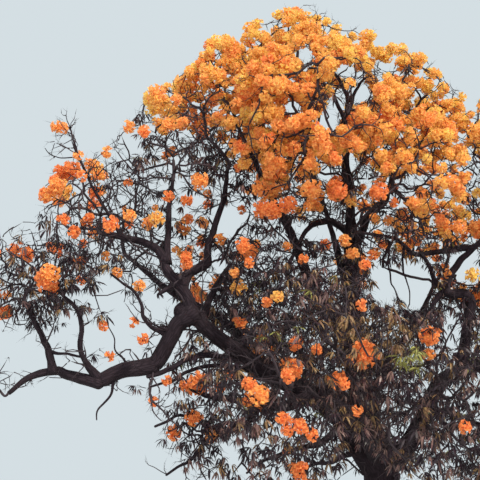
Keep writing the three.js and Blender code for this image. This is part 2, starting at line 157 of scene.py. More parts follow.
BOUGHS = in_metres({
    "west_bough": ("trunk", 0.86, (135, 112), [(-48, -15, 62), (-45, -15, 30), (-45, -15, 20)]),
    "rising_bough": ("west_bough", 1, (96, 32), [(-23, -19, 15), (-24, -20, 13), (-20, -18, 14),
        (-12, -12, 14), (-8, -2, 18), (-9, 0, 13), (-12, 0, 15), (-7, 0, 19), (-13, 0, 10), (-20, 0, 7),
        (-28, 0, 6)]),
    "west_drop_bough": ("rising_bough", 0.36, (94, 88), [(-15, 0, -12), (-12, 4, -17), (-10, 5, -20),
        (-10, 3, -11)]),
    "west_level_bough": ("west_drop_bough", 0.98, (94, 78), [(-20, 0, -4), (-18, -3, -4), (-21, -5, -13)]),
    "centre_bough": ("trunk", 0.93, (118, 24), [(-10, 15, 60), (-8, 10, 62), (-4, 6, 65), (1, 3, 65),
        (0, 0, 56), (-6, 0, 56), (6, 0, 56), (-15, 0, 43)]),
    "east_bough": ("trunk", 0.88, (122, 42), [(25, -5, 15), (26, -5, 40), (20, -5, 40), (30, -5, 16),
        (45, -5, 12), (45, 0, 25), (35, 5, 35)]),
    "front_bough": ("trunk", 0.9, (92, 32), ((-48, -130, 90), 3)),
    "back_bough": ("trunk", 0.92, (104, 36), ((20, 225, 180), 4)),
    "far_west_bough": ("west_level_bough", 0.985, (70, 24), [(-29, 5, 8), (-19, 5, 7), (-27, -10, -8),
        (-20, -10, -19)]),
    "far_west_riser": ("far_west_bough", 0.5, (48, 26), [(-6, 0, 25), (-10, 5, 18), (-17, 5, 32)]),
    "west_fork": ("west_level_bough", 0.93, (40, 20), [(-14, -7, 16), (-9, -6, 17), (2, -6, 22),
        (-6, -4, 21), (-14, -2, 13)]),
    "west_shoot": ("rising_bough", 0.94, (22, 12), [(-20, -5, 32), (-18, 0, 32), (-16, 0, 35), (-4, 0, 12)]),
    "rising_up_bough": ("rising_bough", 0.67, (46, 22), [(1, 5, 28), (0, 10, 37), (3, 10, 40)]),
    "rising_right_bough": ("rising_bough", 0.51, (62, 25), [(11, 15, 22), (18, 15, 14), (0, 10, 19),
        (9, 15, 36), (10, 20, 43), (2, 10, 30)]),
    "west_high_bough": ("rising_bough", 0.29, (50, 26), [(4, 18, 19), (7, 25, 22), (7, 30, 22), (7, 40, 23)]),
    "north_west_bough": ("west_bough", 0.66, (76, 28), ((-208, 82, 173), 4)),
    "centre_west_bough": ("centre_bough", 0.24, (78, 24), [(-35, -15, 53), (-31, -16, 52), (-9, -6, 26),
        (-19, -6, 41), (-18, 10, 34), (-10, 5, 30), (-15, 5, 35)]),
    "arch_bough": ("centre_bough", 0.56, (48, 24), [(-25, -25, 10), (-21, -25, -7), (-16, -15, -14),
        (-15, -5, -30)]),
    "front_top_bough": ("centre_bough", 0.42, (52, 23), ((-18, -100, 145), 3)),
    "top_east_bough": ("centre_bough", 0.48, (58, 22), ((85, 0, 190), 4)),
    "back_top_bough": ("centre_bough", 0.36, (62, 24), ((-35, 95, 200), 3)),
    "east_riser": ("east_bough", 0.55, (66, 56), [(4, -3, 25), (3, -3, 19), (3, -3, 19), (4, -3, 16),
        (-7, -4, 12), (-17, -4, -2), (-14, -3, 5)]),
    "east_mid_bough": ("east_riser", 0.96, (46, 25), [(13, 4, 25), (18, 5, 21), (23, 8, 21), (33, 7, 26),
        (30, 6, 31)]),
    "east_inner_bough": ("east_mid_bough", 0.48, (38, 20), [(-16, -3, -1), (-22, -5, -4), (-19, -4, -4),
        (-16, -2, -1), (-12, -1, 10), (-13, 1, 10), (-22, 4, 5)]),
    "east_back_bough": ("east_bough", 0.66, (58, 25), ((60, 115, 125), 3)),
    "front_west_bough": ("west_bough", 0.36, (62, 25), ((-50, -130, 22), 3)),
    "low_west_bough": ("west_bough", 0.88, (46, 20), [(-5, -15, -23), (-20, -20, -20), (-15, -10, -18),
        (-20, -5, 4), (-15, 0, -6)]),
    "front_east_bough": ("east_bough", 0.4, (66, 27), ((-17, -118, -2), 3)),
    "low_east_bough": ("east_bough", 0.3, (44, 20), ((65, -95, -15), 3)),
    "back_west_bough": ("back_bough", 0.3, (74, 28), ((-150, 115, 130), 3)),
    "back_east_bough": ("back_bough", 0.42, (68, 26), ((95, 65, 155), 3)),
})
print("boughs:", len(BOUGHS))


# %% [markdown]
# The dice is a plain number generator that gives the same row of numbers for the same seed. The smooth curve
# is a Catmull-Rom spline: it passes through every joint, and its slope at a joint is that between the two
# joints beside it, so a bough never has a corner.

# %% The dice and the smooth curve
DICE_FACTOR = 1664525
DICE_STEP = 1013904223
DICE_SIZE = 2**32


def seeded(seed):
    """A dice for this seed."""
    state = seed

    def draw():
        nonlocal state
        state = (state * DICE_FACTOR + DICE_STEP) % DICE_SIZE
        return state / DICE_SIZE

    return draw


def curve_through(joints, shares):
    """Points of the smooth curve through the joints, at shares of the way from 0 to 1."""
    joints = np.asarray(joints, float)
    ends = (2 * joints[0] - joints[1], 2 * joints[-1] - joints[-2])
    row = np.vstack([ends[0], joints, ends[1]])
    at = np.asarray(shares) * (len(joints) - 1)
    leg = np.minimum(at.astype(int), len(joints) - 2)
    part = (at - leg)[:, None]
    before, start, end, after = (row[leg + i] for i in range(4))
    slope, next_slope = (end - before) / 2, (after - start) / 2
    bend = 3 * (end - start) - 2 * slope - next_slope
    turn = 2 * (start - end) + slope + next_slope
    return start + slope * part + bend * part**2 + turn * part**3


def length_of(line):
    return float(np.linalg.norm(np.diff(line, axis=0), axis=1).sum())


def point_along(line, share):
    at = share * (len(line) - 1)
    i = min(int(at), len(line) - 2)
    return line[i] + (line[i + 1] - line[i]) * (at - i)


# %% [markdown]
# Each limb keeps two lines: the solid's own, whose few straight pieces other boughs start from, and the
# joints of its smooth curve, which the bark follows in much finer steps.

# %% The limbs
def trunk_centre(height):
    share = height / TRUNK_HEIGHT
    return np.array([TRUNK_LEAN[0] * share**2, TRUNK_LEAN[1] * share**2, height])


def trunk_radius(height):
    return TRUNK_RADIUS - TRUNK_TAPER * height / TRUNK_HEIGHT


def joints_of(name, start, walk):
    """The joints of a limb: those of its walk, or those of a span with a few strays."""
    if isinstance(walk, list):
        return np.vstack([start, start + np.cumsum(walk, axis=0)])
    span, legs = walk
    draw = seeded(len(name) * WALK_SEED)
    joints = [start]
    for i in range(1, legs + 1):
        stray = WANDER * np.linalg.norm(span) / legs if i < legs else 0
        aside = np.array([draw() - 0.5, draw() - 0.5, draw() - 0.5]) * 2 * stray
        joints.append(start + span * i / legs + aside)
    return np.array(joints)


steps = np.linspace(0, TRUNK_HEIGHT, TRUNK_STEPS)
limbs = {"trunk": {"line": np.array([trunk_centre(h) for h in steps]), "radii": trunk_radius(steps)}}
for name, (parent, share, ends, walk) in BOUGHS.items():
    joints = joints_of(name, point_along(limbs[parent]["line"], share), walk)
    length = length_of(curve_through(joints, np.linspace(0, 1, LENGTH_STEPS)))
    pieces = max(LEAST_PIECES, round(length / RING_EVERY))
    line = curve_through(joints, np.linspace(0, 1, pieces + 1))
    limbs[name] = {"line": line, "radii": np.linspace(*ends, pieces + 1), "joints": joints, "length": length}

capsule_from = np.vstack([limb["line"][:-1] for limb in limbs.values()])
capsule_to = np.vstack([limb["line"][1:] for limb in limbs.values()])
capsule_radius = np.hstack([np.maximum(limb["radii"][:-1], limb["radii"][1:]) for limb in limbs.values()])
in_all = sum(limb.get("length", TRUNK_HEIGHT) for limb in limbs.values())
print("limbs:", len(limbs), "of", round(in_all, 1), "m in all")

# %% [markdown]
# ## The masses
# A crown isn't one ball: it is a number of masses, each on the end of its own bough, with sky between them.
# Each has its heart so many centimetres right, back and up from its bough's tip, a reach, its share of
# blossom, and how many sprays its solid has. No mass grows into another: between two of them runs a plane,
# nearer to the one that reaches less.

# %% Where the masses are
MASSES = {
    "far_west_mass": ("far_west_riser", (5, 0, 33), 69, 0.7, 9),
    "far_drop_mass": ("far_west_bough", (-12, 0, 6), 38, 0.1, 3),
    "west_fork_mass": ("west_fork", (19, 2, 22), 50, 0.4, 5),
    "west_shoot_mass": ("west_shoot", (-5, 0, 18), 26, 1, 3),
    "upper_west_mass": ("rising_bough", (-9, 3, 23), 73, 0.7, 9),
    "rising_mass": ("rising_up_bough", (0, 0, 30), 80, 0.7, 9),
    "shoulder_mass": ("rising_right_bough", (-20, -10, 40), 88, 0.85, 9),
    "west_high_mass": ("west_high_bough", (-2, 60, 35), 88, 0.4, 8),
    "north_west_mass": ("north_west_bough", (-20, 15, 45), 100, 0.6, 8),
    "high_west_mass": ("centre_west_bough", (-20, -5, 50), 85, 0.9, 9),
    "leafy_heart_mass": ("arch_bough", (-10, -35, -35), 85, 0.15, 9),
    "front_top_mass": ("front_top_bough", (-38, -35, 15), 105, 0.85, 9),
    "top_mass": ("centre_bough", (-42, -5, 38), 92, 0.95, 9),
    "top_east_mass": ("top_east_bough", (-15, -5, 18), 82, 0.9, 9),
    "back_top_mass": ("back_top_bough", (-5, 25, 45), 100, 0.85, 8),
    "east_inner_mass": ("east_inner_bough", (20, -25, 50), 95, 0.75, 9),
    "east_mid_mass": ("east_mid_bough", (0, -10, 40), 105, 0.85, 8),
    "east_mass": ("east_bough", (25, -35, 38), 102, 0.6, 8),
    "east_back_mass": ("east_back_bough", (15, 25, 45), 100, 0.7, 8),
    "front_mass": ("front_bough", (-20, -45, 20), 88, 0.35, 9),
    "front_west_mass": ("front_west_bough", (-12, -35, -15), 85, 0.3, 9),
    "low_west_mass": ("low_west_bough", (-10, 0, -8), 45, 0.15, 5),
    "front_east_mass": ("front_east_bough", (-10, -40, -18), 92, 0.45, 8),
    "low_east_mass": ("low_east_bough", (10, -20, -5), 80, 0.2, 8),
    "back_mass": ("back_bough", (0, 45, 30), 100, 0.6, 8),
    "back_west_mass": ("back_west_bough", (-25, 35, 35), 108, 0.6, 8),
    "back_east_mass": ("back_east_bough", (25, 25, 40), 108, 0.7, 8),
}
MASS_SEED = 101
MASS_SEED_STEP = 37

masses = []
for i, (name, (on, heart, reach, bloom, sprays)) in enumerate(MASSES.items()):
    tip, before = limbs[on]["line"][-1], limbs[on]["line"][-2]
    masses.append({
        "name": name.removesuffix("_mass"), "on": on, "tip": tip,
        "heading": (tip - before) / np.linalg.norm(tip - before),
        "middle": tip + np.array(heart) / CENTI, "reach": reach / CENTI, "bloom": bloom, "sprays": sprays,
        "tip_radius": limbs[on]["radii"][-1], "seed": MASS_SEED + MASS_SEED_STEP * i})
MIDDLES = np.array([mass["middle"] for mass in masses])
REACHES = np.array([mass["reach"] for mass in masses])
print("masses:", len(masses))


# %% [markdown]
# Three tests keep a twig in its place: it lies in its mass's own space, it keeps off the limbs, and it isn't
# in one of the gaps of sky that the picture shows. The gaps are ovals in the picture, each with its middle
# and its half width and height in pixels, so nothing grows along the whole line of sight through one. Above
# the crown a broken line marks where the sky begins, with a step up for the lone shoot on the left.

# %% Tests for a place
MASS_SPACE = 0.006
LIMB_SPACE = 0.012
TINY = 1e-9
SKY_GAPS = {
    "beside the heart": (225, 222, 15, 17),
    "under the arch": (325, 231, 27, 8),
    "left of the top fork": (336, 104, 6, 9),
    "right of the top fork": (361, 94, 9, 9),
    "over the top fork": (345, 71, 9, 5),
    "under the top": (303, 54, 9, 5),
    "under the top fork": (329, 121, 8, 11),
    "left slit of the dome": (292, 107, 7, 5),
    "right slit of the dome": (388, 68, 6, 4),
    "middle of the dome": (349, 163, 6, 11),
    "middle of the dome, right": (367, 179, 6, 5),
    "over the arch": (325, 176, 5, 9),
    "left of the centre": (192, 198, 12, 8),
    "left of the centre, low": (178, 211, 9, 7),
    "beside the heart, low": (221, 261, 9, 13),
    "left of the high bough": (177, 172, 7, 11),
    "under the upper left": (136, 146, 12, 10),
    "over the fork": (165, 300, 15, 13),
    "far left, high": (78, 292, 11, 7),
    "far left, middle": (70, 320, 11, 13),
    "far left, low": (38, 360, 26, 11),
    "left of the low middle": (231, 448, 9, 16),
    "low middle": (253, 438, 8, 9),
    "west of the rising bough, high": (106, 292, 20, 17),
    "west of the rising bough, low": (112, 333, 26, 17),
    "right of the fork": (414, 284, 18, 25),
    "middle right": (466, 265, 16, 18),
    "low right edge": (474, 393, 7, 20),
    "right of the dome's foot": (384, 279, 15, 23),
    "low right": (451, 329, 13, 20),
    "under the far west bough": (40, 420, 60, 34),
    "under the level bough": (112, 432, 44, 40),
}
SKYLINE = (
    (-60, 226), (0, 226), (30, 220), (44, 205), (46, 112), (76, 112), (80, 150), (100, 150), (130, 118),
    (150, 76), (160, 76), (172, 88), (185, 68), (195, 62), (210, 36), (250, 22), (290, 4), (310, 0),
    (330, 14), (350, 30), (370, 17), (390, 26), (410, 37), (430, 60), (450, 84), (470, 88), (480, 92),
    (560, 130), (640, 200))


def room_in_mass(points, which):
    """How far each point lies inside the space of one mass, from the nearest plane to another."""
    own = ((points - MIDDLES[which]) ** 2).sum(axis=1) - REACHES[which] ** 2
    room = np.full(len(points), np.inf)
    for other in range(len(masses)):
        if other != which:
            theirs = ((points - MIDDLES[other]) ** 2).sum(axis=1) - REACHES[other] ** 2
            apart = np.linalg.norm(MIDDLES[which] - MIDDLES[other])
            room = np.minimum(room, (theirs - own) / (2 * apart))
    return room


def room_to_limbs(start, end):
    """The least gap between the straight way from start to end and any limb, as a row of round rods."""
    way, limb_way, apart = end - start, capsule_to - capsule_from, start - capsule_from
    ww, ll, wl = way @ way, (limb_way**2).sum(axis=1), limb_way @ way
    wa, la = apart @ way, (limb_way * apart).sum(axis=1)
    spread = ww * ll - wl * wl
    askew = spread > TINY * ww * ll
    s = np.where(askew, np.clip((wl * la - ll * wa) / np.where(askew, spread, 1), 0, 1), 0)
    t = np.clip((wl * s + la) / ll, 0, 1)
    if ww > 0:
        s = np.clip((wl * t - wa) / ww, 0, 1)
    gap = apart + s[:, None] * way - t[:, None] * limb_way
    return float((np.linalg.norm(gap, axis=1) - capsule_radius).min())


def in_ovals(points, ovals, spread=0):
    """Whether each point, or anything within so many pixels of it, is seen in one of these ovals."""
    across, down = seen_at(points)
    inside = np.zeros(len(across), bool)
    for u, v, half_width, half_height in ovals.values():
        inside |= ((across - u) / (half_width + spread)) ** 2 + ((down - v) / (half_height + spread)) ** 2 < 1
    return inside


def in_open_sky(points, spread=0):
    """The same for the gaps of sky and the sky above the crown."""
    across, down = seen_at(points)
    return in_ovals(points, SKY_GAPS, spread) | (down - spread < np.interp(across, *zip(*SKYLINE)))


print("gaps of sky:", len(SKY_GAPS))

# %% [markdown]
# ## Growing the twigs
# A twig isn't placed by hand. A place for its end is drawn first, and then the twig grows there from the
# joint that reaches it best: near, few forks from the stem, and without turning back. That one rule gives
# the crooked, ever finer forks of a real crown. Twigs are kept as points that know the point before them.

# %% A growing set of twigs
FORK_COST = 0.2
TURN_COST = 0.35
SWAY = 0.2
STEP = 0.085
POINTS_EACH = (2, 12)
KEEP_WAY = 0.5
KEEP_HEADING = 0.6
TURN_UP = 0.25
LEAST_WAY = 1e-6
MOST_POINTS = 6000


class Growth:
    """Points that know the point before them, and the twigs that run through them."""

    def __init__(self, room=MOST_POINTS):
        self.at = np.zeros((room, 3))
        self.heading = np.zeros((room, 3))
        self.level = np.zeros(room)
        self.before = np.full(room, -1)
        self.count = 0
        self.twigs = []

    def add(self, point, before, heading, level):
        """One more point, and its number."""
        i = self.count
        self.at[i], self.before[i], self.heading[i], self.level[i] = point, before, heading, level
        self.count += 1
        return i

    def add_twig(self, start, points):
        """A twig from a joint through more points."""
        chain = [start]
        for point in points:
            way = point - self.at[chain[-1]]
            heading = way / max(np.linalg.norm(way), LEAST_WAY)
            chain.append(self.add(point, chain[-1], heading, self.level[start] + 1))
        self.twigs.append(chain)

    def best_joint(self, place):
        """The joint from which a twig reaches a place most cheaply."""
        way = place - self.at[: self.count]
        far = np.linalg.norm(way, axis=1)
        along = (way * self.heading[: self.count]).sum(axis=1) / np.maximum(far, LEAST_WAY)
        cost = far * (1 + FORK_COST * self.level[: self.count] ** 0.5) * (1 + TURN_COST * (1 - along))
        return int(cost.argmin())


def winding_way(start, end, heading, random):
    """Points of a way that sets off along the heading and sways before it arrives."""
    way = end - start
    far = np.linalg.norm(way)
    count = int(np.clip(math.ceil(far / STEP), *POINTS_EACH))
    s = (np.arange(1, count + 1) / count)[:, None]
    leaving = KEEP_WAY * way + KEEP_HEADING * far * heading
    arriving = way + np.array([0, 0, TURN_UP * far])
    line = start + (3 * s**2 - 2 * s**3) * way + (s**3 - 2 * s**2 + s) * leaving + (s**3 - s**2) * arriving
    sway = random.normal(size=(count, 3)) * SWAY * far / count**0.5
    sway[-1] = 0
    sway[:-1] = (np.vstack([np.zeros(3), sway[:-2]]) + 2 * sway[:-1] + sway[1:]) / 4
    return line + sway


print("a twig has a point every", STEP, "m")

# %% [markdown]
# First come the stem and the few twigs that the solids have, by the same rule and the same dice: from the
# bough's tip to the mass's heart, and on to each of its sprays.

# %% The stem and its first twigs
HEAD_ROOM = 0.15
SPRAY_GAP = 0.38
SPRAY_TRIES = 260
SPRAY_OUT = 0.5
STEM_ELBOW = 0.4
STEM_POINTS = 9
JOINTS_TRIED = 5
TWIG_ROOM = 0.016


def spray_places(which, draw):
    """Where the solid of one mass has its sprays, from the middle outwards."""
    mass = masses[which]
    places = []
    for _ in range(SPRAY_TRIES):
        if len(places) == mass["sprays"]:
            break
        turn, rise = 2 * math.pi * draw(), 2 * draw() - 1
        out = mass["reach"] * (SPRAY_OUT + (1 - SPRAY_OUT) * draw() ** (1 / 3))
        level = math.sqrt(1 - rise**2)
        place = mass["middle"] + out * np.array([level * math.cos(turn), level * math.sin(turn), rise])
        if any(np.linalg.norm(place - other) < SPRAY_GAP for other in places):
            continue
        if room_in_mass(place[None], which)[0] <= HEAD_ROOM + MASS_SPACE:
            continue
        if room_to_limbs(place, place) > HEAD_ROOM + LIMB_SPACE:
            places.append(place)
    return sorted(places, key=lambda place: np.linalg.norm(place - mass["middle"]))


def start_growth(which, random):
    """The stem of one mass and the twigs to its sprays."""
    mass = masses[which]
    growth = Growth()
    reach = np.linalg.norm(mass["middle"] - mass["tip"])
    elbow = mass["tip"] + mass["heading"] * STEM_ELBOW * reach
    stem = curve_through([mass["tip"], elbow, mass["middle"]], np.linspace(0, 1, STEM_POINTS))
    start = growth.add(stem[0], -1, mass["heading"], 0)
    growth.add_twig(start, stem[1:])
    growth.level[: growth.count] = 0
    joints = [(elbow, 0), ((elbow + mass["middle"]) / 2, 0), (mass["middle"], 0)]
    for place in spray_places(which, seeded(mass["seed"])):
        costs = [np.linalg.norm(joint - place) * (1 + FORK_COST * level) for joint, level in joints]
        for best in np.argsort(costs, kind="stable")[:JOINTS_TRIED]:
            joint, level = joints[best]
            if room_to_limbs(joint, place) > TWIG_ROOM + LIMB_SPACE:
                nearest = int(np.linalg.norm(growth.at[: growth.count] - joint, axis=1).argmin())
                points = winding_way(growth.at[nearest], place, growth.heading[nearest], random)
                growth.add_twig(nearest, points)
                joints += [((joint + place) / 2, level + 1), (place, level + 1)]
                break
    return growth


print("sprays of the first mass:", len(spray_places(0, seeded(masses[0]["seed"]))))

# %% [markdown]
# Then the rule is carried on to finer twigs, first to branches about 30 cm apart and then to twigs half as
# far apart, and a little closer or wider where the picture shows a denser or a thinner crown. Where a bough
# passes through a mass, twigs grow from its side as well. The ends are drawn so that no two are close, which
# is what keeps a crown even without looking like a grid.

# %% The fine twigs
FINE_SEED = 7
BRANCH_GAP = 0.3
BRANCHES_OUT = 0.2
TWIG_GAP = 0.15
TWIGS_OUT = 0.15
OWN_GAPS = {
    "rising": 0.158, "upper_west": 0.145, "shoulder": 0.135, "west_high": 0.17, "north_west": 0.2,
    "back_west": 0.21, "far_west": 0.135, "west_fork": 0.145, "high_west": 0.14,
}
PLACES_TRIED = 5000
LIMB_JOINT_EVERY = 0.14
LIMB_JOINTS_FROM = 0.1
LIMB_NEAR = 1.1
LIMB_PAST = 0.05
TOO_SHORT = 0.5
EDGE = 0.06


def scattered(which, gap, least_out, random):
    """Places in one mass, no two closer than the gap, from the middle outwards."""
    mass = masses[which]
    ways = random.normal(size=(PLACES_TRIED, 3))
    ways /= np.linalg.norm(ways, axis=1)[:, None]
    out = mass["reach"] * (least_out**3 + (1 - least_out**3) * random.random(PLACES_TRIED)) ** (1 / 3)
    places = mass["middle"] + ways * out[:, None]
    fits = room_in_mass(places, which) > MASS_SPACE
    fits &= ((places > CAD_LOW + EDGE) & (places < CAD_HIGH - EDGE)).all(axis=1)
    fits &= ~in_open_sky(places)
    kept = []
    for place in places[fits]:
        if kept and np.min(((np.array(kept) - place) ** 2).sum(axis=1)) < gap**2:
            continue
        if room_to_limbs(place, place) > LIMB_SPACE:
            kept.append(place)
    return sorted(kept, key=lambda place: np.linalg.norm(place - mass["middle"]))


def limb_joints(which):
    """Points on the boughs that pass through a mass, each with the way that the bough goes there."""
    found = []
    for limb in limbs.values():
        if "joints" not in limb:
            continue
        count = max(2, round(limb["length"] / LIMB_JOINT_EVERY))
        line = curve_through(limb["joints"], np.linspace(LIMB_JOINTS_FROM, 1, count))
        near = np.linalg.norm(line - masses[which]["middle"], axis=1) < LIMB_NEAR * masses[which]["reach"]
        near &= room_in_mass(line, which) > -LIMB_PAST
        way = np.gradient(line, axis=0)
        way /= np.linalg.norm(way, axis=1)[:, None]
        found += [(point, heading) for point, heading, n in zip(line, way, near) if n]
    return found


def grow(which):
    """All the twigs of one mass."""
    random = np.random.default_rng([FINE_SEED, which])
    growth = start_growth(which, random)
    for point, heading in limb_joints(which):
        growth.add(point, -1, heading, 1)
    twig_gap = OWN_GAPS.get(masses[which]["name"], TWIG_GAP)
    for gap, least_out in ((BRANCH_GAP, BRANCHES_OUT), (twig_gap, TWIGS_OUT)):
        for place in scattered(which, gap, least_out, random):
            joint = growth.best_joint(place)
            start = growth.at[joint]
            if np.linalg.norm(place - start) < TOO_SHORT * TWIG_GAP:
                continue
            points = winding_way(start, place, growth.heading[joint], random)
            if not in_open_sky(points).any():
                growth.add_twig(joint, points)
    return growth


growths = [grow(which) for which in range(len(masses))]
print("twigs:", sum(len(growth.twigs) for growth in growths))

# %% [markdown]
# Old boughs aren't bare between the masses either. Slim side limbs leave them: links between two boughs,
# gnarled and drooping branches, hanging twigs, the fork high in the crown, broken stubs and the knob of an
# old cut. They are too slim for solids of their own, and are written in the same way as the boughs.

# %% Side limbs
SIDE_LIMBS = in_metres({
    "upper_link": ("rising_bough", 0.05, (38, 26), [(-17, -10, 1), (-18, -8, 2), (-17, -8, 1),
        (-14, -7, -3), (-12, -5, -6), (-12, -4, -8), (-13, -3, -6), (-14, -1, -4)]),
    "lower_link": ("west_bough", 0.97, (30, 12), [(-30, -9, 2), (-21, -10, 2), (-19, -12, -2),
        (-13, -8, -5), (-12, -6, -6), (-10, -4, -7), (-12, -3, -4), (-14, -1, -4)]),
    "low_limb": ("west_bough", 0.6, (62, 18), [(-23, -18, -15), (-24, -14, -4), (-22, -12, 2), (-23, -9, 5),
        (-20, -7, 2), (-15, -6, 4), (-12, -3, 7)]),
    "gnarled_branch": ("low_west_bough", 0.8, (26, 13), [(-14, 1, -3), (-9, 0, 5), (-8, -2, 7),
        (-11, -2, 3), (-12, 0, 0), (-12, -2, -6), (-13, 0, -6)]),
    "drooping_branch": ("low_west_bough", 0.8, (28, 12), [(-11, -3, -10), (-12, -2, -3), (-6, 0, -12),
        (-9, -3, -10), (-13, -2, -8), (-14, -3, -9)]),
    "broken_stub": ("rising_bough", 0.545, (34, 19), [(-11, -4, -7), (-9, -2, -7)]),
    "knob": ("west_drop_bough", 0.12, (82, 66), [(-8, 0, 7), (-6, 0, 5)]),
    "hanging_twig": ("west_level_bough", 0.65, (19, 7), [(-5, -2, -11), (-1, -2, -13), (-8, 0, -11),
        (-7, -3, -8), (0, 0, -10)]),
    "slim_branch": ("west_drop_bough", 0.5, (28, 13), [(-11, -4, 7), (-13, -2, 8), (-6, -2, 9), (-2, 0, 13),
        (-8, -3, 13), (-12, -3, 9), (-15, -2, 11)]),
    "cross_branch": ("far_west_riser", 0.33, (18, 12), [(13, -4, -3), (15, -8, -3), (14, -4, -3)]),
    "low_front_branch": ("west_bough", 0.3, (40, 12), [(-27, -19, -24), (-25, -20, -7), (-24, -15, -9),
        (-22, -15, -8), (-17, -10, -13)]),
    "low_middle_branch": ("west_bough", 0.12, (36, 12), [(-28, -37, -8), (-19, -20, -9), (-22, -20, -3),
        (-18, -20, -10)]),
    "gap_twig": ("west_drop_bough", 0.42, (12, 5), [(-10, -8, 3), (-13, -4, 5), (-9, -2, 9), (-8, 0, 6)]),
    "low_gap_twig": ("west_level_bough", 0.45, (12, 5), [(-5, -6, 12), (-10, -2, 10), (-2, 0, 14),
        (-6, 0, 12)]),
    "side_shoot": ("west_shoot", 0.75, (8, 4), [(-17, -1, -2), (-9, -2, 0), (-8, 0, 4), (-5, -2, 7)]),
    "top_fork": ("centre_bough", 0.92, (34, 14), [(4, 0, 18), (0, 0, 16), (-7, 0, 18), (-8, -3, 13),
        (-14, -3, 6), (-23, -4, 0)]),
    "top_fork_right": ("centre_bough", 0.92, (30, 12), [(7, 0, 19), (5, 0, 16), (7, 0, 14), (9, 0, 11),
        (15, -3, 5)]),
    "east_stub": ("east_riser", 0.97, (32, 16), [(-11, -3, -14), (-6, -2, -11), (-1, -1, -13)]),
    "east_fork": ("east_riser", 0.97, (34, 20), [(-10, -2, 12), (-4, -1, 11), (-4, 0, 11), (-8, -1, 12)]),
    "east_line": ("east_riser", 0.42, (14, 8), [(-11, -5, 0), (-10, -3, -15), (-8, -3, -14), (-10, -4, -15)]),
    "east_hanging_twig": ("east_inner_bough", 0.7, (14, 6), [(-3, -3, -16), (0, -2, -15), (3, -2, -12),
        (3, 0, -12), (-1, 0, -17)]),
    "inner_hanging_twig": ("east_inner_bough", 0.85, (14, 6), [(-2, -2, -23), (0, -2, -13), (2, -2, -17),
        (5, -2, -12), (3, -2, -27)]),
})
SIDE_LENGTH_STEPS = 101

side_limbs = {}
for name, (parent, share, ends, walk) in SIDE_LIMBS.items():
    joints = joints_of(name, point_along(limbs[parent]["line"], share), walk)
    line = curve_through(joints, np.linspace(0, 1, SIDE_LENGTH_STEPS))
    side_limbs[name] = {"joints": joints, "length": length_of(line)}
print("side limbs:", len(side_limbs))

# %% [markdown]
# All along the boughs and side limbs, and round the top of the trunk, stand small shoots of a few twigs. They
# set off at a slant and end within an arm's length.

# %% Shoots along the boughs
SHOOT_EVERY = 0.17
SHOOTS_FROM = (0.12, 0.98)
SHOOT_POINTS = 20000
SHOOT_LENGTH = (0.2, 0.62)
SHOOT_REACH = (0.5, 1)
SHOOT_TWIGS = (3, 8)
SHOOT_ALONG = 0.6
SHOOT_UP = 0.25
SHOOT_SPREAD = 0.3
FORK_SHOOTS = 26
FORK_HEIGHTS = (1.85, 2.3)


def unit(rows):
    """Each row made one metre long."""
    return rows / np.maximum(np.linalg.norm(rows, axis=-1, keepdims=True), TINY)


def grow_shoots():
    """Shoots of a few twigs all along the boughs and side limbs, and round the trunk's fork."""
    random = np.random.default_rng([FINE_SEED, len(masses)])
    growth = Growth(SHOOT_POINTS)
    lines = [(np.array([trunk_centre(h) for h in np.linspace(*FORK_HEIGHTS, FORK_SHOOTS)]), TRUNK_RADIUS)]
    for limb in [*limbs.values(), *side_limbs.values()]:
        if "joints" in limb:
            count = max(2, round(limb["length"] / SHOOT_EVERY))
            lines.append((curve_through(limb["joints"], np.linspace(*SHOOTS_FROM, count)), 0))
    for line, inside in lines:
        for point, way in zip(line, unit(np.gradient(line, axis=0))):
            side = random.normal(size=3)
            heading = unit(SHOOT_ALONG * way + unit(side - (side @ way) * way) + np.array([0, 0, SHOOT_UP]))
            reach = inside + random.uniform(*SHOOT_LENGTH)
            growth.add(point, -1, heading, 1)
            for _ in range(random.integers(*SHOOT_TWIGS)):
                end = point + heading * reach * random.uniform(*SHOOT_REACH)
                end = end + random.normal(size=3) * SHOOT_SPREAD * reach
                if room_to_limbs(end, end) < LIMB_SPACE or (end < CAD_LOW + EDGE).any():
                    continue
                joint = growth.best_joint(end)
                points = winding_way(growth.at[joint], end, growth.heading[joint], random)
                if not in_open_sky(points).any():
                    growth.add_twig(joint, points)
    return growth


shoots = grow_shoots()
print("twigs on shoots:", len(shoots.twigs))

# %% [markdown]
# A twig is as thick as what it feeds: each point of it carries all the length beyond it, and its radius
# grows with about the cube root of that, so the stem is stout and the last twigs are thin as wire.

# %% How thick the twigs are
END_RADIUS = 0.0035
LOAD_POWER = 0.31
STEM_MOST = 0.95
SHOOT_MOST = 0.012


def thicken(growth, most):
    """Sets the radius at each point of a growth, and finds its free ends."""
    before = growth.before[: growth.count]
    load = np.ones(growth.count)
    for i in range(growth.count - 1, -1, -1):
        if before[i] >= 0:
            load[before[i]] += load[i]
    growth.radius = np.minimum(END_RADIUS * load**LOAD_POWER, most)
    free = before >= 0
    free[before[before >= 0]] = False
    growth.ends = np.flatnonzero(free)


for mass, growth in zip(masses, growths):
    thicken(growth, STEM_MOST * mass["tip_radius"])
thicken(shoots, SHOOT_MOST)
print("free ends:", len(shoots.ends) + sum(len(growth.ends) for growth in growths))


# %% [markdown]
# ## Bark
# A limb is a tube: rings of corners round its middle line, joined ring to ring. The rings are carried along
# without twisting. A tube ends in one point and starts with a closed face, so no mesh has a hole.

# %% Tubes
UPRIGHT = 0.9


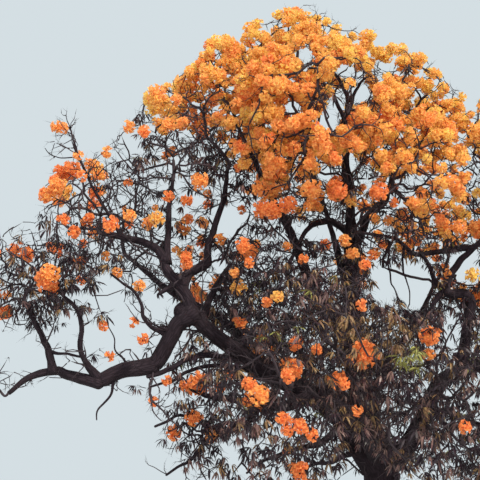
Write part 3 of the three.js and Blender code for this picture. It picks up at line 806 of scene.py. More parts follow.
def rings_along(line):
    """Two directions across the line at each of its points, carried along it without a twist."""
    ahead = unit(np.gradient(line, axis=0))
    across = np.empty_like(line)
    carried = np.array([0, 0, 1.0]) if abs(ahead[0, 2]) < UPRIGHT else np.array([1.0, 0, 0])
    for i, way in enumerate(ahead):
        carried = carried - (carried @ way) * way
        carried /= np.linalg.norm(carried)
        across[i] = carried
    return across, np.cross(ahead, across)


def tube_faces(rings, sides):
    """Triangles of a tube of full rings that ends in one point."""
    k = np.arange(sides)
    turn = (k + 1) % sides
    faces = []
    for ring in range(rings - 1):
        a, b = ring * sides, (ring + 1) * sides
        faces += [np.stack([a + k, a + turn, b + turn], 1), np.stack([a + k, b + turn, b + k], 1)]
    last = (rings - 1) * sides
    faces.append(np.stack([last + k, last + turn, np.full(sides, rings * sides)], 1))
    faces.append(np.stack([np.zeros(sides - 2, int), k[2:], k[1:-1]], 1))
    return np.vstack(faces)


class Skin:
    """Gathers many small shapes into one mesh."""

    def __init__(self):
        self.corners, self.faces, self.grain, self.count = [], [], [], 0

    def add(self, corners, faces, grain=None):
        self.corners.append(corners)
        self.faces.append(faces + self.count)
        self.grain.append(corners if grain is None else grain)
        self.count += len(corners)

    def mesh(self, name):
        """The mesh of all that was added."""
        mesh = bpy.data.meshes.new(name)
        faces = np.vstack(self.faces)
        mesh.from_pydata(np.vstack(self.corners), [], faces.tolist())
        print(name, "has", len(faces), "triangles")
        return mesh


face_store = {}


def add_tube(skin, line, radii, sides, start_turn=0.0):
    """A tapering tube whose last point is its tip."""
    across, along = rings_along(line)
    angle = start_turn + 2 * math.pi * np.arange(sides) / sides
    spoke = across[:, None] * np.cos(angle)[:, None] + along[:, None] * np.sin(angle)[:, None]
    rings = line[:-1, None] + spoke[:-1] * np.asarray(radii)[:-1, None, None]
    key = (len(line) - 1, sides)
    if key not in face_store:
        face_store[key] = tube_faces(*key)
    skin.add(np.vstack([rings.reshape(-1, 3), line[-1:]]), face_store[key])


def piece_of(mesh, material, smooth):
    """A mesh with its material, put into the scene."""
    piece = bpy.data.objects.new(mesh.name, mesh)
    bpy.context.scene.collection.objects.link(piece)
    mesh.materials.append(material)
    if smooth:
        mesh.shade_smooth()
    return piece


print("a twig of 4 points and 3 sides has", len(tube_faces(3, 3)), "triangles")

# %% [markdown]
# The bark of this tree is corky: long ridges that run with the limb, split by furrows, over a surface that
# swells and pinches. The ridges are real shape here, from a noise that is squeezed across the limb and drawn
# out along it. It is worked out as if each limb were straight, so the ridges follow every bend and meet all
# round, and those straight places are kept with the mesh for the bark's finish to use. A limb also strays a
# little from its middle line, is thicker where it leaves the one that carries it, and has a rounded end.

# %% The bark of the trunk and boughs
RIDGES_ACROSS = 26
RIDGE_DRAW = 5.5
RIDGE_WEIGHT = 1.9
FINE_ACROSS = 61
FINE_ALONG = 19
FINE_APART = 9
FINE_WEIGHT = 0.6
RIDGE_DEPTH = 0.011
RIDGE_SHARE = 0.13
RIDGE_MIDDLE = 0.4
SWELL = 0.09
SWELL_ACROSS = 4
SWELL_ALONG = 2.2
SWELL_APART = 31
LEAST_GIRTH = 0.4
TIP_ON = 0.3
KINK = 0.016
KINKS_ALONG = 6
KINK_AXES_APART = 7
KINK_LIMBS_APART = 3.1
KINK_FADE = 0.2
FLARE_TURN = 0.4
FLARE_RIDGE = 0.38
FOOT_HEIGHT = 0.5
FOOT_RINGS = 26
TRUNK_RINGS = 66
TRUNK_SIDES = 84
SIDES_PER_METRE = 250
SIDES_EACH = (8, 34)
LEAST_RINGS = 12
FACE_STRETCH = 2.6
GRAIN_APART = 7.3
SHOULDERS = ((0, 0.9, 0.95, 0.98, 1), (1, 0.97, 0.88, 0.66, 0.05))
COLLAR = 0.45
COLLAR_REACH = 1.7
COLLAR_UP_TO = 0.98
ROUNDING = (1, 0.8, 0.55, 0.3, 0.12, 0.02)
ELBOW_FROM = 0.93
ELBOW_ROUNDING = (0.98, 0.85, 0.6, 0.3)


def ridges(grain):
    """How far the bark stands out at each place of a straightened limb, from 0 in a furrow to 1."""
    heights = []
    for x, y, z in grain:
        wide = noise.noise(Vector((x * RIDGES_ACROSS, y * RIDGES_ACROSS, z * RIDGES_ACROSS / RIDGE_DRAW)))
        fine = noise.noise(Vector((x * FINE_ACROSS + FINE_APART, y * FINE_ACROSS, z * FINE_ALONG)))
        heights.append(1 - abs(wide) * RIDGE_WEIGHT - abs(fine) * FINE_WEIGHT)
    return np.array(heights)


def swelling(grain):
    """How far a limb swells or pinches at each place, between about -1 and 1."""
    places = [(x * SWELL_ACROSS, y * SWELL_ACROSS, z * SWELL_ALONG + SWELL_APART) for x, y, z in grain]
    return np.array([noise.noise(Vector(place)) for place in places])


def add_limb(skin, line, radii, sides, first, flare=None):
    """One limb with its bark: line and radii in fine steps, first how far along the noise it starts."""
    across, along = rings_along(line)
    if flare is not None:
        across[:], along[:] = (1, 0, 0), (0, 1, 0)
    angle = 2 * math.pi * np.arange(sides) / sides
    gone = np.hstack([0, np.cumsum(np.linalg.norm(np.diff(line, axis=0), axis=1))])
    spoke = across[:, None] * np.cos(angle)[:, None] + along[:, None] * np.sin(angle)[:, None]
    out = np.repeat(radii[:, None], sides, axis=1)
    if flare is not None:
        out = out + flare(line[:, 2][:, None], angle[None])
    girth = np.maximum(radii, LEAST_GIRTH * radii.max())[:, None] * np.ones(sides)
    straight = gone[:, None] + first + 0 * girth
    rows = np.stack([girth * np.cos(angle), girth * np.sin(angle), straight], axis=2).reshape(-1, 3)
    depth = np.minimum(RIDGE_DEPTH, RIDGE_SHARE * radii)[:, None]
    relief = depth * (ridges(rows).reshape(out.shape) - RIDGE_MIDDLE)
    out = out * (1 + SWELL * swelling(rows).reshape(out.shape)) + relief
    rings = line[:, None] + spoke * out[..., None]
    tip = line[-1] + (line[-1] - line[-2]) * TIP_ON
    corners = np.vstack([rings.reshape(-1, 3), tip])
    skin.add(corners, tube_faces(len(line), sides), np.vstack([rows, rows[-1:]]))


def flare_of(height, angle):
    """How much further out the root flare stands at this height, with its ridges."""
    ridge = (1 - FLARE_RIDGE) + FLARE_RIDGE * np.cos(FLARE_LOBES * angle + FLARE_TURN)
    return FLARE_OUT * np.exp(-height / FLARE_HEIGHT) * ridge


def sides_for(radius):
    return int(np.clip(round(radius * SIDES_PER_METRE), *SIDES_EACH))


def steps_along(length, ends, sides, rounded):
    """Shares of the way along a limb for its rings, closer where its end is rounded, and their radii."""
    count = max(LEAST_RINGS, round(length * sides / (FACE_STRETCH * math.pi * (ends[0] + ends[1]))))
    shares = np.linspace(0, 1, count)
    if rounded:
        closing = 1 - np.array(ROUNDING) * ends[1] / length
        shares = np.hstack([shares[shares < closing[0]], closing])
    radii = ends[0] + (ends[1] - ends[0]) * shares
    if rounded:
        left = np.clip((1 - shares) * length / ends[1], 0, 1)
        radii = radii * np.sqrt(1 - (1 - left) ** 2)
    return shares, radii


def kinks_at(gone, first):
    """How far a limb strays to each side so far along it, as parts of the most."""
    row = [(gone * KINKS_ALONG, axis * KINK_AXES_APART, first * KINK_LIMBS_APART) for axis in range(3)]
    return [noise.noise(Vector(place)) for place in row]


bark_skin = Skin()
foot_heights = np.linspace(0, FOOT_HEIGHT, FOOT_RINGS)[:-1]
heights = np.hstack([foot_heights, np.linspace(FOOT_HEIGHT, TRUNK_HEIGHT, TRUNK_RINGS)])
dome = np.interp(heights / TRUNK_HEIGHT, *SHOULDERS)
trunk_line = np.array([trunk_centre(h) for h in heights])
add_limb(bark_skin, trunk_line, trunk_radius(heights) * dome, TRUNK_SIDES, 0, flare_of)
carries_mass = {mass["on"] for mass in masses}
all_limbs = {**BOUGHS, **SIDE_LIMBS}
for first, (name, (parent, share, ends, walk)) in enumerate(all_limbs.items()):
    limb = limbs.get(name) or side_limbs[name]
    sides = sides_for(ends[0])
    shares, radii = steps_along(limb["length"], ends, sides, name not in carries_mass)
    line = curve_through(limb["joints"], shares)
    gone = shares * limb["length"]
    if share < COLLAR_UP_TO:
        girth = np.interp(share, np.linspace(0, 1, len(limbs[parent]["radii"])), limbs[parent]["radii"])
        radii = radii * (1 + COLLAR * np.exp(-((gone / (COLLAR_REACH * girth)) ** 2)))
    kinks = np.array([kinks_at(step, first) for step in gone])
    fade_in, fade_out = np.minimum(1, gone / KINK_FADE), np.minimum(1, (gone[-1] - gone) / KINK_FADE)
    line = line + KINK * kinks * fade_in[:, None] * fade_out[:, None]
    if share >= ELBOW_FROM:
        back = np.array(ELBOW_ROUNDING)
        line = np.vstack([line[0] - back[:, None] * radii[0] * unit(line[1] - line[0]), line])
        radii = np.hstack([radii[0] * np.sqrt(1 - back**2), radii])
    add_limb(bark_skin, line, radii, sides, GRAIN_APART * (first + 1))
bark_mesh = bark_skin.mesh("bark")
grain = bark_mesh.attributes.new("grain", "FLOAT_VECTOR", "POINT")
grain.data.foreach_set("vector", np.vstack(bark_skin.grain).astype(np.float32).ravel())

# %% [markdown]
# ## Finishes
# Shader maths reads best as sums. This small class stands for a number on its way through a material: adding
# or multiplying two of them adds the Math node that does it. Another class makes a material and any other
# node in it, its settings first and then its sockets.

# %% Node maths as sums
class Amount:
    """A number on its way through a tree of nodes."""

    def __init__(self, tree, socket):
        self.tree, self.socket = tree, socket

    def math(self, operation, *values):
        """What the Math node makes of these values."""
        node = self.tree.node("ShaderNodeMath", {"operation": operation}, dict(enumerate(values)))
        return Amount(self.tree, node.outputs[0])

    def __add__(self, other):
        return self.math("ADD", self, other)

    def __mul__(self, other):
        return self.math("MULTIPLY", self, other)

    def __sub__(self, other):
        return self.math("SUBTRACT", self, other)

    def __rsub__(self, other):
        return self.math("SUBTRACT", other, self)

    def __truediv__(self, other):
        return self.math("DIVIDE", self, other)

    def __pow__(self, other):
        return self.math("POWER", self, other)


class Nodes:
    """A tree of nodes, each added with its settings first and then its sockets."""

    def __init__(self, tree):
        self.tree = tree

    def fill(self, node, values):
        """Sets or links each named socket of a node."""
        for key, value in values.items():
            socket = node.inputs[key]
            if isinstance(value, Amount):
                value = value.socket
            if isinstance(value, bpy.types.NodeSocket):
                self.tree.links.new(value, socket)
            else:
                socket.default_value = value

    def node(self, kind, settings=None, values=None):
        node = self.tree.nodes.new(kind)
        for key, value in (settings or {}).items():
            setattr(node, key, value)
        self.fill(node, values or {})
        return node

    def amount(self, node):
        return Amount(self, node.outputs[0])


class Finish(Nodes):
    """A material. Its constants go on the shader's own sockets."""

    def __init__(self, name, **constants):
        self.material = bpy.data.materials.new(name)
        self.material.use_nodes = True
        super().__init__(self.material.node_tree)
        self.shader = self.tree.nodes["Principled BSDF"]
        self.fill(self.shader, constants)

    def mixed(self, share, first, second):
        """A colour part of the way from the first to the second."""
        node = self.node("ShaderNodeMix", {"data_type": "RGBA"}, {0: share, 6: first, 7: second})
        return node.outputs[2]

    def noise_over(self, place, scale, detail):
        """A noise from 0 to 1 over the places."""
        values = {"Vector": place, "Scale": scale, "Detail": detail}
        return self.amount(self.node("ShaderNodeTexNoise", {}, values))


print("finishes are made by", Finish.__name__)

# %% [markdown]
# Bark: dark, almost black in the furrows, a little paler and greyer on the corky ridges. The furrows come
# from the distance to the edge of drawn-out cells, which looks like plates of cork, and the same pattern
# drives the relief. It reads the straight places kept with the mesh. Twigs are smoother and share its dark
# brown, with a plain noise because they are thinner than any furrow.

# %% Bark and twig finishes
CORK_DRAW = 0.2
CORK_SCALE = 38
FURROW = 0.22
GRIT_SCALE = 120
GRIT_SHARE = 0.7
GRIT_LEAST = 0.45
PLATE_HEIGHT = 0.7
GRIT_HEIGHT = 0.35
GREY_SCALE = 5
GREY_RANGE = (0.48, 0.7)
GREY_MOST = 0.75
RELIEF_DEPTH = 0.007
TWIG_SCALE = 9
BARK_DEEP = (0.01, 0.0055, 0.0085, 1)
BARK_RIDGE = (0.021, 0.013, 0.0185, 1)
BARK_GREY = (0.033, 0.023, 0.03, 1)
TWIG_DARK = (0.017, 0.011, 0.015, 1)
TWIG_PALE = (0.048, 0.034, 0.041, 1)


def bark_finish():
    finish = Finish("furrowed_bark", **{"Roughness": 0.95, "Specular IOR Level": 0.25})
    along = finish.node("ShaderNodeAttribute", {"attribute_name": "grain"}).outputs["Vector"]
    squeezed = finish.node("ShaderNodeMapping", {}, {"Vector": along, "Scale": (1, 1, CORK_DRAW)}).outputs[0]
    cells = finish.node("ShaderNodeTexVoronoi", {"feature": "DISTANCE_TO_EDGE"}, {
        "Vector": squeezed, "Scale": CORK_SCALE, "Randomness": 1})
    plates = finish.amount(finish.node("ShaderNodeMapRange", {"interpolation_type": "SMOOTHSTEP"}, {
        "Value": cells.outputs[0], "From Min": 0.0, "From Max": FURROW}))
    grit = finish.noise_over(squeezed, GRIT_SCALE, detail=4)
    grey = finish.amount(finish.node("ShaderNodeMapRange", {}, {
        "Value": finish.noise_over(along, GREY_SCALE, detail=3),
        "From Min": GREY_RANGE[0], "From Max": GREY_RANGE[1], "To Max": GREY_MOST}))
    ridge = finish.mixed(grey, BARK_RIDGE, BARK_GREY)
    colour = finish.mixed(plates * (grit * GRIT_SHARE + GRIT_LEAST), BARK_DEEP, ridge)
    relief = finish.node("ShaderNodeBump", {}, {
        "Strength": 0.7, "Distance": RELIEF_DEPTH, "Height": plates * PLATE_HEIGHT + grit * GRIT_HEIGHT})
    finish.fill(finish.shader, {"Base Color": colour, "Normal": relief.outputs[0]})
    return finish.material


def twig_finish():
    finish = Finish("twig_bark", **{"Roughness": 0.85, "Specular IOR Level": 0.3})
    place = finish.node("ShaderNodeTexCoord").outputs["Object"]
    colour = finish.mixed(finish.noise_over(place, TWIG_SCALE, detail=3), TWIG_DARK, TWIG_PALE)
    finish.fill(finish.shader, {"Base Color": colour})
    return finish.material


bark = piece_of(bark_mesh, bark_finish(), smooth=True)
twig_bark = twig_finish()
print("bark finishes:", bark.data.materials[0].name, twig_bark.name)

# %% [markdown]
# The twigs are joined into one mesh for each part of the crown, and the shoots into one more. Thin ones have
# three sides, which is enough for something a few millimetres thick, and the stems have more.

# %% The twigs as meshes
PARTS = {
    "west": ("far_west", "far_drop", "west_fork", "west_shoot", "upper_west", "rising", "west_high",
             "north_west", "back_west", "low_west", "front_west"),
    "dome": ("shoulder", "high_west", "leafy_heart", "front_top", "top", "top_east", "back_top"),
    "east": ("east_inner", "east_mid", "east", "east_back", "front", "front_east", "low_east", "back",
             "back_east"),
}
TWIG_SIDES = {3: 0.0075, 5: 0.016, 7: math.inf}
ROOT_SWELL = 1.25
LAST_TWIGS = 3
LAST_BACK = 0.08
LAST_SPREAD = 0.6
LAST_LENGTH = (0.05, 0.13)
LAST_RADIUS = 0.0022
LAST_SEED = 50


def picked(value, marks):
    """The first key in the table whose mark is above the value."""
    return next(key for key, mark in marks.items() if value < mark)


def add_growth(skin, growth, random):
    """A tube for each twig of a growth, and a few last short ones at each free end."""
    for chain in growth.twigs:
        radii = growth.radius[chain]
        radii[0] = radii[1] * ROOT_SWELL
        add_tube(skin, growth.at[chain], radii, picked(radii[1], TWIG_SIDES), chain[0])
    for end in np.repeat(growth.ends, LAST_TWIGS):
        start = growth.at[end] - growth.heading[end] * random.uniform(0, LAST_BACK)
        way = unit(growth.heading[end] + random.normal(size=3) * LAST_SPREAD) * random.uniform(*LAST_LENGTH)
        add_tube(skin, np.array([start, start + way]), [LAST_RADIUS, 0], picked(LAST_RADIUS, TWIG_SIDES))


twig_pieces = []
for part, names in PARTS.items():
    skin = Skin()
    for which, (mass, growth) in enumerate(zip(masses, growths)):
        if mass["name"] in names:
            add_growth(skin, growth, np.random.default_rng([FINE_SEED, LAST_SEED + which]))
    twig_pieces.append(piece_of(skin.mesh("twigs_" + part), twig_bark, smooth=True))
skin = Skin()
add_growth(skin, shoots, np.random.default_rng([FINE_SEED, LAST_SEED - 1]))
twig_pieces.append(piece_of(skin.mesh("shoots"), twig_bark, smooth=True))

# %% [markdown]
# ## What the twigs carry
# Each free end of a twig carries a head of blossom, a few leaves, or nothing. There are four kinds of heads,
# from a full one to a small tuft. A head has room where it keeps inside the crown's box and out of the gaps
# of sky, doesn't stand before a bough that the picture shows clear, and isn't seen in one of the ovals where
# the picture has no blossom.

# %% Where a head has room
FLOWER_LENGTH = 0.037
HEAD_FLOWERS = (26, 18, 12, 6)
HEAD_CORES = (0.055, 0.042, 0.028, 0.012)
HEAD_RADII = np.array(HEAD_CORES) + FLOWER_LENGTH
HEAD_PAST = 0.01
PIXEL = 0.0124
NO_BLOOM = {
    "low on the left": (110, 345, 135, 42),
    "low on the right": (405, 395, 120, 108),
    "high on the far left": (20, 226, 40, 14),
    "heart of the leaves": (300, 298, 62, 40),
    "left of the dome's foot": (203, 156, 27, 22),
    "under the dome, far left": (247, 180, 14, 11),
    "under the dome, left": (268, 224, 30, 13),
    "over the arch, left": (290, 203, 18, 7),
    "under the dome, right": (335, 219, 30, 13),
}
CLEAR_BOUGHS = {
    "west_bough": 0.68, "west_drop_bough": 0, "west_level_bough": 0, "far_west_bough": 0, "rising_bough": 0,
    "rising_right_bough": 0.1, "arch_bough": 0.1, "top_fork": 0, "top_fork_right": 0,
}
CLEAR_EDGE = 4
CLEAR_STEPS = 60

clear_lines = []
clear_radii = []
for name, start in CLEAR_BOUGHS.items():
    limb = limbs.get(name) or side_limbs[name]
    shares = np.linspace(start, 1, CLEAR_STEPS)
    clear_lines.append(curve_through(limb["joints"], shares))
    clear_radii.append(np.interp(shares, (0, 1), all_limbs[name][2]))
clear_line, clear_radius = np.vstack(clear_lines), np.hstack(clear_radii)
clear_across, clear_down = seen_at(clear_line)


def hides_bough(place):
    """Whether something here would stand before one of the boughs that the picture shows clear."""
    across, down = seen_at(place)
    off = np.hypot(clear_across - across, clear_down - down) - clear_radius / PIXEL
    nearest = int(off.argmin())
    return off[nearest] < CLEAR_EDGE and place[1] < clear_line[nearest, 1]


def has_room(place, kind):
    """Whether a head of this kind keeps inside the crown's box, out of the open sky, and where blossom is."""
    radius = HEAD_RADII[kind]
    inside = ((place - radius > CAD_LOW - HEAD_PAST) & (place + radius < CAD_HIGH + HEAD_PAST)).all()
    if not inside or in_open_sky(place, radius / PIXEL)[0] or hides_bough(place):
        return False
    return not in_ovals(place, NO_BLOOM)[0]


print("points of clear boughs:", len(clear_line))

# %% [markdown]
# Leaves are few in most of the crown and fewer on top, and the lone shoot on the left has none. Low down on
# the right and far left most free ends without blossom carry them, and in three more ovals of the picture
# about half of them do.

# %% How leafy a place is
LEAFY = {
    "left of the dome's foot": (203, 156, 27, 22),
    "upper left": (152, 150, 16, 18),
    "under the dome": (256, 187, 26, 14),
}
LEAF_DROP = 0.07
ON_HIGH = 0.12
LESS_ON_TOP = 0.09
TOP = (5.9, 6.5)
IN_LOW_RIGHT = 0.7
LOW = (4.1, 4.9)
RIGHT = (-2.65, -1.85)
IN_FAR_LEFT = 0.6
FAR_LEFT_UNDER = (4.4, 4.9)
FAR_LEFT_OVER = (3.6, 3.8)
FAR_LEFT = (-3.6, -3.0)
LONE_SHOOT_OVER = (4.9, 5.2)
LONE_SHOOT_LEFT = (-3.4, -3.1)
IN_LEAFY_OVALS = 0.45
LEAVES_EACH = (1, 4)
LEAF_SIZE = (0.75, 1.25)

leaves = []


def rising_step(value, start, end):
    """0 up to the start, 1 from the end on, and a smooth rise between."""
    share = np.clip((value - start) / (end - start), 0, 1)
    return share * share * (3 - 2 * share)


def falling_step(value, start, end):
    """1 up to the start, 0 from the end on, and a smooth fall between."""
    return rising_step(-value, -end, -start)


def leafiness(place):
    """The share of free ends that carry leaves.

    It is small in most of the crown, less on top, none on the lone shoot, and much larger low down on the
    right, far left and in the leafy ovals.
    """
    x, _, z = place
    low_right = falling_step(z, *LOW) * rising_step(x, *RIGHT)
    far_left = falling_step(z, *FAR_LEFT_UNDER) * rising_step(z, *FAR_LEFT_OVER) * falling_step(x, *FAR_LEFT)
    lone_shoot = rising_step(z, *LONE_SHOOT_OVER) * falling_step(x, *LONE_SHOOT_LEFT)
    on_high = (ON_HIGH - LESS_ON_TOP * rising_step(z, *TOP)) * (1 - lone_shoot)
    share = on_high + IN_LOW_RIGHT * low_right + IN_FAR_LEFT * far_left
    return share + IN_LEAFY_OVALS * in_ovals(place, LEAFY)[0]


def deal_leaves(place, random):
    """A few leaves or none at a free end."""
    if random.random() < leafiness(place) and not hides_bough(place - np.array([0, 0, LEAF_DROP])):
        for _ in range(random.integers(*LEAVES_EACH, endpoint=True)):
            leaves.append((place, random.uniform(*LEAF_SIZE)))


print("share of leafy ends in the crown's middle:", round(float(leafiness(MIDDLES.mean(axis=0))), 3))

# %% [markdown]
# The heads that stand out in the picture come first. Each has its place in the picture, in pixels, and its
# radius, in metres, and goes to the twig's end nearest to where it is seen. The rest are dealt by dice where
# they have room, most of them to the ends that stand furthest out from the crown's heart, as on the real
# tree, and they keep a little apart. A large head often has one or two others beside it.

# %% Heads of blossom and leaves, dealt out
CROWN_HEART = np.array([-0.8, 0.3, 4.4])
KIND_SHARES = (0.08, 0.25, 0.36, 0.31)
CLUMPS_PER_AREA = 148
BLOOM_POWER = 2.2
CLUMP_GAP = 0.115
HEADS_IN_CLUMP = (1, 3)
HEAD_SIZE = (0.85, 1.15)
HEADS_MEET = 0.62
CLUMP_FLAT = (1, 1, 0.6)
SMALLER_BY = 3
TUFT_SHARE = 0.2
TUFT_KINDS = 2
HEAD_SEED = 23
SEEN_SEED = 90
SHOOT_BLOOM = 0.06
SHOOT_OTHERS = 2
OUTWARD_WEIGHT = 0.45
SEEN_NEAR = 4
SEEN_FAR = 12
DEPTH_COST = 5.0
CLUMP_FACTORS = {
    "far_west": 0.33, "west_fork": 0.2, "upper_west": 0.2, "rising": 0.18, "shoulder": 0.3, "front_top": 1.7,
    "top": 0.8, "back_top": 0.75, "east_inner": 0.65, "east_mid": 1.02, "leafy_heart": 2.2, "west_high": 0.65,
    "north_west": 0.25, "front": 0.2, "front_east": 0.2, "low_east": 0.2, "front_west": 0.4,
    "back_west": 0.35, "west_shoot": 0, "high_west": 1.2,
}
SEEN_HEADS = {
    "lone shoot": ((56, 127, 0.065), (64, 127, 0.065), (79, 155, 0.05), (68, 163, 0.04)),
    "under the level bough": ((167, 381, 0.06), (197, 382, 0.1), (186, 386, 0.07), (249, 385, 0.07)),
    "over the level bough": (
        (103, 326, 0.05), (131, 325, 0.05), (146, 341, 0.065), (110, 356, 0.05), (192, 298, 0.06)),
    "low middle": ((261, 396, 0.09), (248, 399, 0.07), (287, 431, 0.06), (300, 427, 0.07), (312, 434, 0.06)),
    "low front": ((365, 353, 0.13), (294, 369, 0.09), (287, 375, 0.07)),
    "low front, small": ((338, 379, 0.08), (345, 383, 0.06), (318, 349, 0.05), (357, 411, 0.05)),
    "low right": ((428, 338, 0.09), (430, 355, 0.06), (466, 427, 0.06), (362, 306, 0.05), (473, 275, 0.08)),
    "heart": (
        (243, 246, 0.085), (250, 252, 0.085), (250, 262, 0.06), (238, 288, 0.08), (277, 299, 0.06),
        (266, 302, 0.05)),
    "left of the heart": (
        (220, 239, 0.07), (213, 271, 0.08), (200, 297, 0.06), (262, 210, 0.09), (187, 201, 0.07)),
    "left": (
        (130, 215, 0.07), (129, 127, 0.07), (107, 152, 0.055), (198, 181, 0.09), (157, 218, 0.08),
        (148, 224, 0.07)),
    "under the arch": (
        (325, 245, 0.07), (345, 240, 0.07), (353, 254, 0.07), (369, 262, 0.06), (305, 258, 0.05)),
    "over the arch": (
        (313, 190, 0.1), (337, 190, 0.11), (289, 205, 0.09), (378, 190, 0.1), (413, 203, 0.07)),
}

heads = []
grown = growths + [shoots]
end_of = [(which, i) for which, growth in enumerate(grown) for i in growth.ends]
end_at = np.array([grown[which].at[i] for which, i in end_of])
taken_ends = set()


def add_clump(place, kind, beside, random, size=None):
    """A head of blossom and a few others, as large or smaller, that touch it."""
    heads.append((place, kind, size or random.uniform(*HEAD_SIZE)))
    for _ in range(beside):
        other = min(kind + random.integers(0, SMALLER_BY), len(HEAD_RADII) - 1)
        way = unit(random.normal(size=3) * CLUMP_FLAT)
        centre = place + way * HEADS_MEET * (HEAD_RADII[kind] + HEAD_RADII[other])
        if has_room(centre, other):
            heads.append((centre, other, random.uniform(*HEAD_SIZE)))


random = np.random.default_rng([HEAD_SEED, SEEN_SEED])
tips = [limb["joints"][-1] for limb in side_limbs.values()]
spot_at = np.vstack([end_at, tips])
spot_across, spot_down = seen_at(spot_at)
for spots in SEEN_HEADS.values():
    for u, v, size in spots:
        off = np.hypot(spot_across - u, spot_down - v)
        nearest = int(np.argmin(np.maximum(off, SEEN_NEAR) + DEPTH_COST * spot_at[:, 1]))
        if off[nearest] < SEEN_FAR:
            kind = int(np.argmin(np.abs(HEAD_RADII - size)))
            aside = PIXEL * np.array([u - spot_across[nearest], 0, spot_down[nearest] - v])
            aside *= min(1, size / max(np.linalg.norm(aside), LEAST_WAY))
            add_clump(spot_at[nearest] + aside, kind, 0, random, size / HEAD_RADII[kind])
            if nearest < len(end_of):
                taken_ends.add(end_of[nearest])

for which, (mass, growth) in enumerate(zip(masses, growths)):
    random = np.random.default_rng([HEAD_SEED, which])
    ends = np.array([i for i in growth.ends if (which, i) not in taken_ends])
    offset = (growth.at[ends] - mass["middle"]) / mass["reach"]
    outward = offset @ unit(mass["middle"] - CROWN_HEART)
    rank = np.argsort(-(OUTWARD_WEIGHT * outward + random.random(len(ends))))
    share = mass["bloom"] ** BLOOM_POWER * CLUMP_FACTORS.get(mass["name"], 1)
    wanted = round(CLUMPS_PER_AREA * share * mass["reach"] ** 2)
    for i in ends[rank]:
        kind = random.choice(len(KIND_SHARES), p=KIND_SHARES)
        place = growth.at[i] + growth.heading[i] * HEAD_CORES[kind]
        if wanted > 0 and has_room(place, kind):
            others = np.array([other[0] for other in heads])
            if ((others - place) ** 2).sum(axis=1).min() > CLUMP_GAP**2:
                wanted -= 1
                add_clump(place, kind, random.integers(*HEADS_IN_CLUMP, endpoint=True) - 1, random)
                continue
        tuft = len(HEAD_RADII) - random.integers(1, TUFT_KINDS, endpoint=True)
        if random.random() < TUFT_SHARE * min(share, 1) and has_room(place, tuft):
            heads.append((place, tuft, random.uniform(*HEAD_SIZE)))
            continue
        deal_leaves(growth.at[i], random)

random = np.random.default_rng([HEAD_SEED, len(masses)])
for which, i in end_of:
    if which < len(masses) or (which, i) in taken_ends:
        continue
    kind = random.integers(1, len(HEAD_RADII))
    if random.random() < SHOOT_BLOOM and has_room(shoots.at[i], kind):
        add_clump(shoots.at[i], kind, random.integers(0, SHOOT_OTHERS), random)
    else:
        deal_leaves(shoots.at[i], random)
print("heads:", len(heads), "leaves:", len(leaves))

# %% [markdown]
# ## A flower, a leaf
# The real flower is a trumpet five to seven centimetres long, which flares into five ruffled lobes. From the
# ground only its outline and its mouth can be made out, so ten triangles are enough: each lobe is a wedge
# that widens all the way up from the base, and a short tip. The leaf is palmate: a stalk with five long
# leaflets that hang from its end.

# %% One flower
LOBES = 5
LOBE_OUT = 0.027
LOBE_TIP = 0.034
LOBE_RUFFLE = 0.006
LOBE_WIDTH = 0.92
SIDE_UNEVEN = (0.9, 1.1)
TIP_UNEVEN = (0.9, 1.12)
TIP_BEND = (-1.6, 0.4)


def flower_mesh(seed):
    """A trumpet of five ruffled lobes that opens upwards from its base."""
    random = np.random.default_rng([FINE_SEED, seed])
    corners = [(0, 0, 0)]
    faces = []
    for lobe in range(LOBES):
        turn = 2 * math.pi * lobe / LOBES
        first = len(corners)
        for side in (-0.5, 0.5):
            way = turn + side * LOBE_WIDTH * 2 * math.pi / LOBES
            out = LOBE_OUT * random.uniform(*SIDE_UNEVEN)
            up = FLOWER_LENGTH + random.uniform(-LOBE_RUFFLE, LOBE_RUFFLE)
            corners.append((out * math.cos(way), out * math.sin(way), up))
        out = LOBE_TIP * random.uniform(*TIP_UNEVEN)
        up = FLOWER_LENGTH + random.uniform(*TIP_BEND) * LOBE_RUFFLE
        corners.append((out * math.cos(turn), out * math.sin(turn), up))
        faces += [(0, first, first + 1), (first, first + 2, first + 1)]
    mesh = bpy.data.meshes.new(f"flower_{seed}")
    mesh.from_pydata(corners, [], faces)
    return mesh


print("a flower has", len(flower_mesh(0).polygons), "triangles")

# %% [markdown]
# Each leaflet is a slim blade of four triangles: it is widest about a third of the way along, runs out to a
# point, and bends down more and more along its length. The stalk goes out sideways, so a leaf only has to be
# turned about an upright line to hang as its neighbours do.

# %% One palmate leaf
STALK = 0.06
BLADES = 5
BLADE_LENGTH = 0.13
BLADE_WIDTH = 0.021
BLADE_STATIONS = ((0.3, 0.92), (0.66, 0.8), (1, 0))
BLADE_UNEVEN = (0.85, 1.12)
MIDDLE_BLADE = (BLADES - 1) / 2
SIDE_BLADE_SHORTER = 0.09
STALK_ENDS = ((0, 0.0013, 0), (0, -0.0013, 0), (0, 0, 0.0016))
STALK_OUT = 0.85
STALK_DOWN = 0.25
STALK_HANG = 0.4
FAN = 1.2
FAN_HANG = 0.3
FAN_UNEVEN = 0.3
BLADE_ROLL = 0.5
DROP = 0.2
DROP_HANG = 0.75
DROP_UNEVEN = 0.35
DROP_STEP = 0.3
DROP_MOST = 1.5


